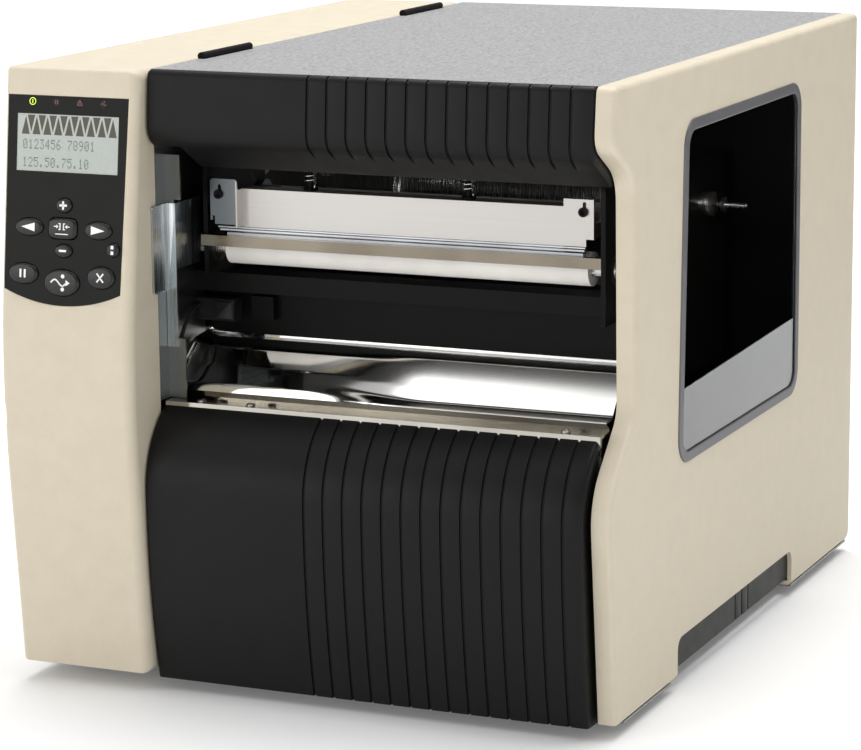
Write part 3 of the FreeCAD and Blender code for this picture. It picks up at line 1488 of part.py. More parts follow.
def data_connectors():
    """Data sockets in the back plate, each a shell with an open mouth."""
    shells = []
    back = rear_plate_y + sheet
    for x0, x1, z0, z1 in port_places:
        shell = block(x0 + 0.1, x1 - 0.1, rear_plate_y - 10, back + 1.5, z0 + 0.1, z1 - 0.1)
        rim = block(x0 - 2, x1 + 2, back, back + 1.5, z0 - 2, z1 + 2)
        mouth = block(x0 + 2, x1 - 2, back - 7, back + 3, z0 + 2, z1 - 2)
        shells.append(fuse([shell, rim]).cut(mouth))
    return shells


def panel_screws():
    """Back plate screws and the screws along the front shelf."""
    screws = []
    back = rear_plate_y + sheet
    for x in (split_x - 1.5, split_x + 60, door_inner_x - 60, chassis_right_x - 12):
        for z in (floor_z + 12, top_z - 24):
            if x < split_x:
                continue
            screws.append(Part.makeCylinder(3.2, 1.6, V(x, back, z), V(0, 1, 0)))
    for x in (split_x + 24, split_x + 58, chassis_right_x - 24):
        screws.append(Part.makeCone(3.0, 2.2, 1.4, V(x, lip_front_y + 6, lip_z)))
    return screws


# Write every sub-part
save("base_pan", base_pan())
save("rubber_feet", rubber_feet())
save("centre_plate", fuse([centre_plate(), dancer_stub_pin()]))
save("electronics_cover", electronics_cover())
save("rear_panel", rear_panel())
save("lower_front_panel", lower_front_panel())
save("front_shelf", front_shelf())
save("catch_bracket", catch_bracket())
save("web_sensor", web_sensor())
save("door_side_panel", door_side_panel())
save("door_lid", door_lid())
save("upper_fascia", upper_fascia())
save("window_gasket", window_gasket())
save("window_pane", window_pane())
save("grip_insert", grip_insert())
save("door_hinge_leaves", door_hinge_leaves())
save("fixed_hinge_leaves", fixed_hinge_leaves())
save("mechanism_side_plates", mechanism_side_plates())
save("lower_cross_beam", lower_cross_beam())
save("label_guide_plate", label_guide_plate())
save("tear_bar", tear_bar())
save("static_brush", static_brush())
save("printhead_bracket", printhead_bracket())
save("printhead", printhead())
save("printhead_screws", printhead_screws())
save("toggle_shaft", toggle_shaft())
save("toggle_plungers", toggle_plungers())
save("pressure_springs", pressure_springs())
save("head_lever", head_lever())
save("platen_roller", platen_roller())
save("platen_shaft", platen_shaft())
save("drive_belt", drive_belt())
save("motor_pulley", motor_pulley())
save("platen_motor", platen_motor())
save("shaft_bearings", shaft_bearings())
save("ribbon_supply_spindle", ribbon_spindle(supply_axis_y, supply_z, spindle_reach))
save("ribbon_takeup_spindle", ribbon_spindle(takeup_axis_y, takeup_z, spindle_reach + 12))
save("guide_roller", guide_roller())
save("media_hanger", media_hanger())
save("media_guide", media_guide())
save("dancer_arm", dancer_arm())
save("control_bezel", control_bezel())
keys()
save("control_board", control_board())
save("status_lenses", status_lenses())
save("display_window", display_window())
save("main_board", main_board())
save("power_supply", power_supply())
save("inlet_module", inlet_module())
save("power_rocker", power_rocker())
save("data_connectors", data_connectors())
save("panel_screws", panel_screws())
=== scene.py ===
import json
import math
import bmesh
import bpy
import numpy as np
from mathutils import Matrix, Vector


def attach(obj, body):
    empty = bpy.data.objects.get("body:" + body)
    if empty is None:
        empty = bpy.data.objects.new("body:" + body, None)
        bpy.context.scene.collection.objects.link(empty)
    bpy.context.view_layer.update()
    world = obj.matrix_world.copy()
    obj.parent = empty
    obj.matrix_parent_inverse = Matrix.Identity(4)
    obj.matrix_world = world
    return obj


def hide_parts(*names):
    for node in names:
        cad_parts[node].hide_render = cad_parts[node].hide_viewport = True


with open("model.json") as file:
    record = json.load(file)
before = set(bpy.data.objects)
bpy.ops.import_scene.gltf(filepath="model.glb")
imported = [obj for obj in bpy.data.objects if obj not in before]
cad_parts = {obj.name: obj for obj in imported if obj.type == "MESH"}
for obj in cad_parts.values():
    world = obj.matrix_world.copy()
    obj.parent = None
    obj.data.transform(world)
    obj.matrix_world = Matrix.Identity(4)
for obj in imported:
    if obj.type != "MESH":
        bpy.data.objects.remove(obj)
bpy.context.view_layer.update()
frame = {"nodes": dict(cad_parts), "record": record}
nodes = frame["nodes"]
bodyOf = {node: body for body, members in frame["record"]["behaviour"]["bodies"].items() for node in members}
slotOf = {part["node"]: part["material_slot"] for part in frame["record"]["subparts"]}
print("frame loaded:", len(nodes), "nodes")


# Small tools

def linear(hexCode):
    # sRGB hex to linear light, opaque
    value = [int(hexCode[i:i + 2], 16) / 255 for i in (1, 3, 5)]
    return tuple(v / 12.92 if v <= 0.04045 else ((v + 0.055) / 1.055) ** 2.4 for v in value) + (1.0,)


def addObject(name, data):
    # puts a mesh, a lamp or a camera into the scene, at the origin
    holder = bpy.data.objects.new(name, data)
    bpy.context.scene.collection.objects.link(holder)
    return holder


def addNode(tree, kind, settings=None, **links):
    # one node: its settings by socket or property name, "stops" for a ramp's colours, and its incoming links
    node = tree.nodes.new("ShaderNode" + kind)
    for key, value in (settings or {}).items():
        if key == "stops":
            elements = node.color_ramp.elements
            while len(elements) < len(value):
                elements.new(0.5)
            for element, (position, colour) in zip(elements, value):
                element.position, element.color = position, colour
        elif isinstance(key, int) or key in node.inputs:
            node.inputs[key].default_value = value
        else:
            setattr(node, key, value)
    for key, source in links.items():
        numbered = key[0] == "i" and key[1:].isdigit()  # i0, i1 and i2 are the inputs of a maths node
        tree.links.new(source, node.inputs[int(key[1:]) if numbered else key.replace("_", " ")])
    return node


def perMillimetre(size):
    # texture scale that makes one cell about this many millimetres wide
    return 1000.0 / size


def newMaterial(name, **sockets):
    # an empty Principled material; returns it with its tree, shader and the object's own coordinates
    material = bpy.data.materials.new(name)
    material.use_nodes = True
    tree = material.node_tree
    shader = tree.nodes["Principled BSDF"]
    for key, value in sockets.items():
        shader.inputs[key.replace("_", " ")].default_value = value
    place = addNode(tree, "TexCoord").outputs["Object"]
    return material, tree, shader, place


def wire(tree, shader, colour, rough, height, depth):
    # joins a finish's colour, roughness and relief, of a depth in millimetres, to its shader
    tree.links.new(colour.outputs["Color"], shader.inputs["Base Color"])
    tree.links.new(rough.outputs["Result"], shader.inputs["Roughness"])
    bump = addNode(tree, "Bump", {"Distance": depth / 1000, "Strength": 1.0}, Height=height)
    tree.links.new(bump.outputs["Normal"], shader.inputs["Normal"])


# Finishes

def mouldedPlastic(name, tint, shade, grainSize, grainDepth, roughLow, roughHigh, shine=0.5):
    # ABS or polycarbonate moulded in a spark-eroded tool: a soft pebble grain that dulls it, drawn coarse enough
    # to show, and clouds 14 mm wide in its colour
    material, tree, shader, place = newMaterial(name, IOR=1.5, Specular_IOR_Level=shine)
    cloud = addNode(tree, "TexNoise", {"Scale": perMillimetre(14.0), "Detail": 3.0}, Vector=place)
    pebble = addNode(tree, "TexVoronoi", {"Scale": perMillimetre(grainSize), "feature": "SMOOTH_F1",
                                          "Smoothness": 0.6}, Vector=place)
    fine = addNode(tree, "TexNoise", {"Scale": perMillimetre(grainSize * 0.55), "Detail": 2.0}, Vector=place)
    both = addNode(tree, "Math", {"operation": "ADD"}, i0=pebble.outputs["Distance"], i1=fine.outputs["Fac"])
    tone = addNode(tree, "Math", {"operation": "MULTIPLY_ADD", 1: 0.35}, i0=both.outputs["Value"],
                   i2=cloud.outputs["Fac"])
    colour = addNode(tree, "ValToRGB", {"stops": [(0.35, linear(shade)), (1.0, linear(tint))]},
                     Fac=tone.outputs["Value"])
    rough = addNode(tree, "MapRange", {"From Min": 0.4, "From Max": 1.1, "To Min": roughLow, "To Max": roughHigh},
                    Value=tone.outputs["Value"])
    wire(tree, shader, colour, rough, both.outputs["Value"], grainDepth)
    return material


def powderCoat(name, tint, shade, grainSize, grainDepth, rough, shine=0.5, fleck=None):
    # baked powder: orange-peel lumps that a coarse coat breaks into separate beads
    material, tree, shader, place = newMaterial(name, IOR=1.5, Specular_IOR_Level=shine)
    lumps = addNode(tree, "TexNoise", {"Scale": perMillimetre(grainSize * 1.6), "Detail": 4.0, "Roughness": 0.6},
                    Vector=place)
    beads = addNode(tree, "TexVoronoi", {"Scale": perMillimetre(grainSize), "feature": "SMOOTH_F1",
                                         "Smoothness": 0.5}, Vector=place)
    height = addNode(tree, "Math", {"operation": "MULTIPLY_ADD", 1: -0.8}, i0=beads.outputs["Distance"],
                     i2=lumps.outputs["Fac"])
    even = addNode(tree, "MapRange", {"From Min": -0.2, "From Max": 0.6, "To Max": 0.6},
                   Value=height.outputs["Value"])
    stops = [(0.0, linear(shade)), (0.45, linear(tint))] + ([(0.62, linear(fleck))] if fleck else [])
    colour = addNode(tree, "ValToRGB", {"stops": stops}, Fac=even.outputs["Result"])
    gloss = addNode(tree, "MapRange", {"To Min": rough - 0.08, "To Max": rough + 0.1}, Value=lumps.outputs["Fac"])
    wire(tree, shader, colour, gloss, height.outputs["Value"], grainDepth)
    return material


def rolledSheet(name, tint, shade, rough, brush=(5.0, 1500.0, 1500.0)):
    # bare sheet metal: rolling lines along one way, drawn coarse enough to show, that stretch its highlights,
    # and slow clouds across it
    material, tree, shader, place = newMaterial(name, Metallic=1.0)
    along = addNode(tree, "Mapping", {"Scale": brush}, Vector=place)
    lines = addNode(tree, "TexNoise", {"Scale": 1.0, "Detail": 3.0}, Vector=along.outputs["Vector"])
    slow = addNode(tree, "TexNoise", {"Scale": perMillimetre(45.0), "Detail": 2.0}, Vector=place)
    mixed = addNode(tree, "Math", {"operation": "MULTIPLY_ADD", 1: 0.35}, i0=lines.outputs["Fac"],
                    i2=slow.outputs["Fac"])
    colour = addNode(tree, "ValToRGB", {"stops": [(0.5, linear(shade)), (0.85, linear(tint))]},
                     Fac=mixed.outputs["Value"])
    gloss = addNode(tree, "MapRange", {"From Min": 0.3, "From Max": 0.7, "To Min": rough * 0.7,
                                       "To Max": rough * 1.3}, Value=lines.outputs["Fac"])
    wire(tree, shader, colour, gloss, lines.outputs["Fac"], 0.002)
    return material


def twoPartSheet(name, tint, shade, otherTint, axis, border, rough):
    # satin sheet with fine rolling lines: one colour beyond a border, in millimetres along an axis, another before
    # it; in each use one of the two is painted shade
    material, tree, shader, place = newMaterial(name, Metallic=1.0)
    apart = addNode(tree, "SeparateXYZ", Vector=place)
    along = addNode(tree, "Mapping", {"Scale": (5.0, 1500.0, 1500.0)}, Vector=place)
    lines = addNode(tree, "TexNoise", {"Scale": 1.0, "Detail": 3.0}, Vector=along.outputs["Vector"])
    plain = addNode(tree, "ValToRGB", {"stops": [(0.3, linear(shade)), (0.7, linear(tint))]},
                    Fac=lines.outputs["Fac"])
    part = addNode(tree, "MapRange", {"From Min": border / 1000, "From Max": (border + 0.4) / 1000},
                   Value=apart.outputs[axis])
    colour = addNode(tree, "MixRGB", {"Color1": linear(otherTint)}, Fac=part.outputs["Result"],
                     Color2=plain.outputs["Color"])
    gloss = addNode(tree, "MapRange", {"To Min": rough - 0.05, "To Max": rough + 0.05}, Value=lines.outputs["Fac"])
    wire(tree, shader, colour, gloss, lines.outputs["Fac"], 0.001)
    return material


def mirrorSheet(name, tint, shade, left, right, roughLeft, roughRight):
    # polished spring sheet: a mirror at its left end that turns to satin, rubbed by use, towards its right
    material, tree, shader, place = newMaterial(name, Metallic=1.0)
    apart = addNode(tree, "SeparateXYZ", Vector=place)
    slow = addNode(tree, "TexNoise", {"Scale": perMillimetre(60.0), "Detail": 2.0}, Vector=place)
    colour = addNode(tree, "ValToRGB", {"stops": [(0.35, linear(shade)), (0.65, linear(tint))]},
                     Fac=slow.outputs["Fac"])
    gloss = addNode(tree, "MapRange", {"interpolation_type": "SMOOTHSTEP", "From Min": left / 1000,
                                       "From Max": right / 1000, "To Min": roughLeft, "To Max": roughRight},
                    Value=apart.outputs["X"])
    wire(tree, shader, colour, gloss, slow.outputs["Fac"], 0.01)
    return material


def zincPlate(name, tint, shade, rough):
    # passivated zinc: faintly blue, with soft crystals a few millimetres wide and a clouded gloss
    material, tree, shader, place = newMaterial(name, Metallic=1.0)
    crystals = addNode(tree, "TexVoronoi", {"Scale": perMillimetre(4.0), "feature": "F1"}, Vector=place)
    cloud = addNode(tree, "TexNoise", {"Scale": perMillimetre(22.0), "Detail": 4.0}, Vector=place)
    grain = addNode(tree, "SeparateColor", Color=crystals.outputs["Color"])
    mixed = addNode(tree, "Math", {"operation": "MULTIPLY_ADD", 1: 0.25}, i0=grain.outputs["Red"],
                    i2=cloud.outputs["Fac"])
    colour = addNode(tree, "ValToRGB", {"stops": [(0.35, linear(shade)), (0.85, linear(tint))]},
                     Fac=mixed.outputs["Value"])
    gloss = addNode(tree, "MapRange", {"From Min": 0.3, "From Max": 0.9, "To Min": rough * 0.8,
                                       "To Max": rough * 1.3}, Value=mixed.outputs["Value"])
    wire(tree, shader, colour, gloss, cloud.outputs["Fac"], 0.01)
    return material


def turnedMetal(name, tint, shade, rough, pitch=0.5):
    # turned on a lathe: fine rings along the axis X, drawn coarse enough to show, that spread its highlight
    material, tree, shader, place = newMaterial(name, Metallic=1.0)
    along = addNode(tree, "Mapping", {"Scale": (perMillimetre(pitch), 12.0, 12.0)}, Vector=place)
    rings = addNode(tree, "TexNoise", {"Scale": 1.0, "Detail": 3.0}, Vector=along.outputs["Vector"])
    colour = addNode(tree, "ValToRGB", {"stops": [(0.3, linear(shade)), (0.7, linear(tint))]},
                     Fac=rings.outputs["Fac"])
    gloss = addNode(tree, "MapRange", {"From Min": 0.3, "From Max": 0.7, "To Min": rough * 0.8,
                                       "To Max": rough * 1.4}, Value=rings.outputs["Fac"])
    wire(tree, shader, colour, gloss, rings.outputs["Fac"], 0.01)
    return material


def softRubber(name, tint, shade, rough, grainSize=0.9, grainDepth=0.03, shine=0.5):
    # moulded or extruded rubber: dull, with a faint bloom that greys it in patches
    material, tree, shader, place = newMaterial(name, IOR=1.52, Specular_IOR_Level=shine)
    bloom = addNode(tree, "TexNoise", {"Scale": perMillimetre(22.0), "Detail": 4.0}, Vector=place)
    grain = addNode(tree, "TexNoise", {"Scale": perMillimetre(grainSize), "Detail": 2.0}, Vector=place)
    colour = addNode(tree, "ValToRGB", {"stops": [(0.35, linear(shade)), (0.7, linear(tint))]},
                     Fac=bloom.outputs["Fac"])
    gloss = addNode(tree, "MapRange", {"To Min": rough - 0.06, "To Max": rough + 0.08}, Value=bloom.outputs["Fac"])
    wire(tree, shader, colour, gloss, grain.outputs["Fac"], grainDepth)
    return material


def circuitLaminate(name):
    # glass-fibre board under green solder mask: tracks as lighter raised lines, a fine weave in its gloss
    material, tree, shader, place = newMaterial(name, IOR=1.5)
    tracks = addNode(tree, "TexBrick", {"Scale": perMillimetre(22.0), "Mortar Size": 0.06,
                                        "Color1": (0, 0, 0, 1), "Color2": (0.15, 0.15, 0.15, 1),
                                        "Mortar": (1, 1, 1, 1)}, Vector=place)
    weave = addNode(tree, "TexNoise", {"Scale": perMillimetre(0.8)}, Vector=place)
    colour = addNode(tree, "ValToRGB", {"stops": [(0.1, linear("#12472a")), (0.9, linear("#2c6b43"))]},
                     Fac=tracks.outputs["Color"])
    gloss = addNode(tree, "MapRange", {"To Min": 0.25, "To Max": 0.4}, Value=weave.outputs["Fac"])
    wire(tree, shader, colour, gloss, tracks.outputs["Color"], 0.04)
    return material


def clearGlazing(name, tint, low, high):
    # smoked polycarbonate sheet: smooth enough to mirror the floor, with faint wiping marks
    material, tree, shader, place = newMaterial(name, IOR=1.5, Transmission_Weight=1.0, Base_Color=linear(tint))
    along = addNode(tree, "Mapping", {"Scale": (8.0, 30.0, 6.0)}, Vector=place)
    wipes = addNode(tree, "TexNoise", {"Scale": 1.0, "Detail": 1.0}, Vector=along.outputs["Vector"])
    gloss = addNode(tree, "MapRange", {"From Min": 0.4, "From Max": 0.7, "To Min": low, "To Max": high},
                    Value=wipes.outputs["Fac"])
    tree.links.new(gloss.outputs["Result"], shader.inputs["Roughness"])
    return material


def litLens(name, tint, shade, glow):
    # moulded lamp lens: a diffuse core, brighter at the middle of the grain, that glows when lit
    material, tree, shader, place = newMaterial(name, IOR=1.49, Roughness=0.25, Emission_Strength=glow)
    grain = addNode(tree, "TexNoise", {"Scale": perMillimetre(1.2), "Detail": 2.0}, Vector=place)
    colour = addNode(tree, "ValToRGB", {"stops": [(0.3, linear(shade)), (0.7, linear(tint))]},
                     Fac=grain.outputs["Fac"])
    tree.links.new(colour.outputs["Color"], shader.inputs["Base Color"])
    tree.links.new(colour.outputs["Color"], shader.inputs["Emission Color"])
    return material


print("making the finishes")
finishes = {
    # spark-eroded ABS covers in warm beige, a dull pebble grain
    "cover_plastic": mouldedPlastic("TexturedBeigeAbs", "#c8beaa", "#c0b6a2", 1.1, 0.05, 0.42, 0.6, 0.4),
    # black ABS with the same grain, its gloss a little higher
    "black_plastic": mouldedPlastic("TexturedBlackAbs", "#100f0f", "#0a0a0a", 1.0, 0.05, 0.35, 0.5, 0.17),
    "dark_grip": mouldedPlastic("SatinCharcoalPolycarbonate", "#121310", "#0c0d0b", 0.7, 0.015, 0.32, 0.44, 0.14),
    "key_plastic": mouldedPlastic("SatinKeyCapPlastic", "#131312", "#0d0d0c", 0.6, 0.01, 0.22, 0.34, 0.35),
    "gasket_rubber": softRubber("ExtrudedGreyRubber", "#5e5d60", "#545356", 0.38),
    "foot_rubber": softRubber("MouldedFootRubber", "#141413", "#0d0d0d", 0.7, shine=0.3),
    "platen_rubber": softRubber("GroundSiliconeRubber", "#e2dfda", "#d8d4ce", 0.5, 0.6, 0.02, 0.4),
    "belt_rubber": softRubber("NeopreneBelt", "#171716", "#10100f", 0.65, shine=0.3),
    # coarse grey powder coat, whose beads show as faint light and dark flecks
    "lid_paint": powderCoat("CoarseGreyPowderCoat", "#a0a0a1", "#7c7c7d", 2.0, 0.2, 0.42, 0.45, "#c2c2c3"),
    "black_paint": powderCoat("FineBlackPowderCoat", "#0c0b0a", "#070707", 0.8, 0.03, 0.45, 0.11),
    # the catch at the left of the mechanism: plated, then brushed upright
    "catch_zinc": rolledSheet("BrushedZincCatch", "#c6cbcc", "#a3a9ab", 0.27, (1500.0, 1500.0, 6.0)),
    # the upright plate between the bays: plated at its front, painted near-black behind it as painted shade of the
    # closed media bay
    "bay_wall": twoPartSheet("BayWallPaintedShade", "#121211", "#0c0c0b", "#7d807f", "Y", -160.0, 0.3),
    "zinc_sheet": zincPlate("PassivatedZinc", "#8e908f", "#797c7c", 0.26),
    # the tear bar, tanned by use; the same sheet on the exit shelf is rubbed bright by the labels
    "bright_steel": rolledSheet("BrightRolledSteel", "#827a6d", "#71695d", 0.2),
    "shelf_steel": rolledSheet("RubbedShelfSteel", "#b5b1a9", "#a5a199", 0.09),
    "polished_steel": mirrorSheet("MirrorPolishedSheet", "#f0efed", "#e8e7e4", -60, 90, 0.05, 0.16),
    # the head's bracket: even satin nickel; its left tab is painted darker and bluer, a painted shade and reflection
    # of the tab lying in shadow
    "satin_steel": twoPartSheet("SatinNickelSheetShadedTab", "#b9b6b2", "#b4b0ac", "#6c7174", "X", -70.6, 0.36),
    "turned_steel": turnedMetal("TurnedSteel", "#c9c7c4", "#a5a3a0", 0.24),
    "spring_steel": turnedMetal("DrawnSpringWire", "#dedcd9", "#bdbbb8", 0.2, 1.2),
    "aluminium": rolledSheet("ExtrudedAluminium", "#c6c8ca", "#b0b2b5", 0.36),
    "anodised": turnedMetal("ClearAnodisedAluminium", "#d2d2d3", "#b4b4b6", 0.3),
    "bearing_bronze": turnedMetal("OiledSinteredBronze", "#57503f", "#3d382c", 0.5, 0.8),
    "window_glass": clearGlazing("SmokedPolycarbonate", "#a6a8a8", 0.0, 0.006),
    "display_glass": mouldedPlastic("DisplayFilm", "#9fa59e", "#969c96", 2.2, 0.004, 0.16, 0.24),
    "lens_plastic": litLens("DimRedLens", "#7a2320", "#4d1412", 0.0),
    "board_green": circuitLaminate("SolderMaskLaminate"),
    "connector_plastic": mouldedPlastic("BlackNylon", "#161615", "#0e0e0d", 0.7, 0.02, 0.4, 0.55, 0.3),
}
for material in finishes.values():
    material.diffuse_color = material.node_tree.nodes["Principled BSDF"].inputs["Base Color"].default_value


def dress(piece, material):
    # gives a piece one finish all over
    piece.data.materials.clear()
    piece.data.materials.append(material)


for node, obj in nodes.items():
    for holder in obj.material_slots:
        holder.material = finishes[slotOf[node]]


# Pieces finished over the CAD shapes

def shadeSmooth(mesh, sharpAngle=30.0):
    # smooth shading over curves, with a crisp edge where two faces turn by more than the angle in degrees
    mesh.polygons.foreach_set("use_smooth", [True] * len(mesh.polygons))
    mesh.set_sharp_from_angle(angle=math.radians(sharpAngle))


def finished(node):
    # a merged copy of a CAD piece: flat triangles joined, curves shaded smooth, corners kept crisp
    mergeDistance = 2e-6
    mesh = nodes[node].data.copy()
    piece = addObject(node + "_finished", mesh)
    work = bmesh.new()
    work.from_mesh(mesh)
    bmesh.ops.remove_doubles(work, verts=work.verts, dist=mergeDistance)
    work.to_mesh(mesh)
    work.free()
    shadeSmooth(mesh)
    weighted = piece.modifiers.new("evenShading", "WEIGHTED_NORMAL")  # flat faces keep flat shading beside curves
    weighted.keep_sharp = True
    weighted.weight = 100
    dress(piece, finishes[slotOf[node]])
    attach(piece, bodyOf[node])
    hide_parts(node)
    return piece


curvedNodes = ["electronics_cover", "door_side_panel", "window_gasket", "tear_bar", "catch_bracket", "web_sensor",
               "grip_insert", "mechanism_side_plates", "door_hinge_leaves", "fixed_hinge_leaves", "rubber_feet",
               "printhead_screws", "toggle_shaft", "toggle_plungers", "pressure_springs", "head_lever",
               "platen_roller", "platen_shaft", "drive_belt", "motor_pulley", "platen_motor", "shaft_bearings",
               "ribbon_supply_spindle", "ribbon_takeup_spindle", "guide_roller", "media_hanger", "media_guide",
               "dancer_arm", "control_bezel", "inlet_module", "power_rocker", "panel_screws", "main_board"]
shells = {node: finished(node) for node in curvedNodes}
# the shelf gets its rubbed sheet; the centre plate gets the sheet with painted shade over its media-bay side
for node, finish in (("front_shelf", "shelf_steel"), ("centre_plate", "bay_wall")):
    for holder in nodes[node].material_slots:
        holder.material = finishes[finish]
dress(shells["catch_bracket"], finishes["catch_zinc"])
# the gasket's lip is rounded, and the weighted normals come after that
lip = shells["window_gasket"].modifiers.new("roundedLip", "BEVEL")
lip.width = 0.0011
lip.segments = 3
lip.angle_limit = math.radians(50)
shells["window_gasket"].modifiers.move(1, 0)
print("curved pieces finished:", len(shells))


# Surfaces worked out as arrays

def meshPiece(name, points, faces, material, body, sharpAngle=30.0, node=None):
    # points in millimetres become a piece at the origin, its faces turned outwards
    mesh = bpy.data.meshes.new(name)
    mesh.from_pydata((np.asarray(points, float) / 1000.0).tolist(), [], [list(face) for face in faces])
    work = bmesh.new()
    work.from_mesh(mesh)
    bmesh.ops.recalc_face_normals(work, faces=work.faces)
    work.to_mesh(mesh)
    work.free()
    shadeSmooth(mesh, sharpAngle)
    piece = addObject(name, mesh)
    dress(piece, material)
    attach(piece, body)
    if node:
        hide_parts(node)
    return piece


def tubeFaces(rows, columns, offset=0):
    # quads between closed rings of points, row by row, and one flat face over the first ring and over the last
    row, column = np.meshgrid(np.arange(rows - 1), np.arange(columns), indexing="ij")
    after = (column + 1) % columns
    quads = np.stack([row * columns + column, row * columns + after,
                      (row + 1) * columns + after, (row + 1) * columns + column], axis=-1)
    ends = (np.arange(columns) + np.array([[0], [(rows - 1) * columns]]) + offset).tolist()
    return (quads.reshape(-1, 4) + offset).tolist() + ends


def carriedOutline(stations, outlines):
    # closed outlines (y, z) standing at places along X, joined by quads and closed by a flat face at each end
    count, corners = outlines.shape[:2]
    points = np.empty((count, corners, 3))
    points[:, :, 0] = np.asarray(stations)[:, None]
    points[:, :, 1:] = outlines
    return points.reshape(-1, 3), tubeFaces(count, corners)


def roundedPath(corners, steps=8):
    # a path through (y, z, radius) corners with each corner turned into an arc; its two ends stay sharp
    corners = np.asarray(corners, float)
    path = [corners[0, :2]]
    for before, (y, z, radius), after in zip(corners, corners[1:], corners[2:]):
        here = np.array([y, z])
        back = (before[:2] - here) / np.linalg.norm(before[:2] - here)
        ahead = (after[:2] - here) / np.linalg.norm(after[:2] - here)
        half = np.arccos(np.clip(back @ ahead, -1, 1)) / 2
        if radius == 0:
            path.append(here)
            continue
        centre = here + (back + ahead) / np.linalg.norm(back + ahead) * radius / np.sin(half)
        first = here + back * radius / np.tan(half) - centre
        last = here + ahead * radius / np.tan(half) - centre
        turn = np.arctan2(first[0] * last[1] - first[1] * last[0], first @ last)
        for step in np.linspace(0, turn, steps):
            path.append(centre + np.array([first[0] * np.cos(step) - first[1] * np.sin(step),
                                           first[0] * np.sin(step) + first[1] * np.cos(step)]))
    path.append(corners[-1, :2])
    return np.array(path)


def resampled(path, spacing):
    # extra points along the straight parts, none further apart than the spacing
    pieces = []
    for a, b in zip(path[:-1], path[1:]):
        count = max(1, int(np.ceil(np.linalg.norm(b - a) / spacing)))
        pieces.append(a + (b - a) * np.linspace(0, 1, count, endpoint=False)[:, None])
    return np.vstack(pieces + [path[-1:]])


def inwardOf(path):
    # unit directions square to an open path, to its left as it is followed
    along = np.gradient(path, axis=0)
    along /= np.linalg.norm(along, axis=1, keepdims=True)
    return np.stack([-along[:, 1], along[:, 0]], axis=1)


grooves = {  # places and sizes in millimetres; "across" and "fall" are one groove's section
           "first": 169.99, "pitch": 12.9, "count": 14, "depth": 1.2,
           "across": [-1.6, -0.95, -0.82, -0.76, -0.7, 0.0, 0.6, 0.72, 0.9, 1.15, 1.6],
           "fall": [0.0, 0.02, 0.1, 0.5, 0.97, 1.0, 0.97, 0.6, 0.25, 0.06, 0.0]}


def groovedStations(left, right, radius):
    # places along X, with the inset of the rounded ends and the depth of the grooves at each
    turn = np.radians(np.linspace(0, 90, 6))
    inset = radius * (1 - np.sin(turn))
    places = [left + radius * (1 - np.cos(turn))]
    insets = [inset]
    depths = [np.zeros(len(turn))]
    for i in reversed(range(grooves["count"])):
        places.append(grooves["first"] - i * grooves["pitch"] + np.array(grooves["across"]))
        insets.append(np.zeros(len(grooves["across"])))
        depths.append(grooves["depth"] * np.array(grooves["fall"]))
    places.append((right - radius * (1 - np.cos(turn)))[::-1])
    insets.append(inset[::-1])
    depths.append(np.zeros(len(turn)))
    return np.concatenate(places), np.concatenate(insets), np.concatenate(depths)


def makeLowerPanel():
    # the black panel under the label exit: a long shallow arc, then a tight one over to its top edge
    panel = {"left": -106.4, "right": 182.3, "bulge": (-247.0, 131.0), "lower": 652.4, "upper": 57.0,
             "edge": (-219.3, 179.9), "bottom": 8.0, "back": -217.5, "notch": 170.6, "ends": 2.2,
             "hem": [(1.2, -1.0), (0.3, -0.7)], "hemTall": 1.0, "edgeThick": 0.4, "least": 0.6}
    y0, z0 = panel["bulge"]
    low = np.linspace(math.asin((z0 - panel["bottom"] - panel["hemTall"]) / panel["lower"]), 0, 46)[:-1]
    high = np.linspace(0, math.acos((y0 + panel["upper"] - panel["edge"][0]) / panel["upper"]), 26)
    lowArc = np.stack([y0 + panel["lower"] * (1 - np.cos(low)), z0 - panel["lower"] * np.sin(low)], 1)
    highArc = np.stack([y0 + panel["upper"] * (1 - np.cos(high)), z0 + panel["upper"] * np.sin(high)], 1)
    front = np.vstack([lowArc[:1] + panel["hem"], lowArc, highArc])
    inward = -inwardOf(front)
    inward[:2] = inward[2]
    rear = np.array([[panel["edge"][0] + panel["edgeThick"], panel["notch"]], [panel["back"], panel["notch"]],
                     [panel["back"], panel["bottom"]]])
    places, insets, depths = groovedStations(panel["left"], panel["right"], panel["ends"])
    moved = front[None] + inward[None] * (insets + depths)[:, None, None]
    moved[:, :, 0] = np.minimum(moved[:, :, 0], panel["back"] - panel["least"])
    outlines = np.concatenate([moved, np.broadcast_to(rear, (len(places), 3, 2))], axis=1)
    points, faces = carriedOutline(places, outlines)
    return meshPiece("lowerGroovedPanel", points, faces, finishes["black_plastic"], "chassis",
                     node="lower_front_panel")


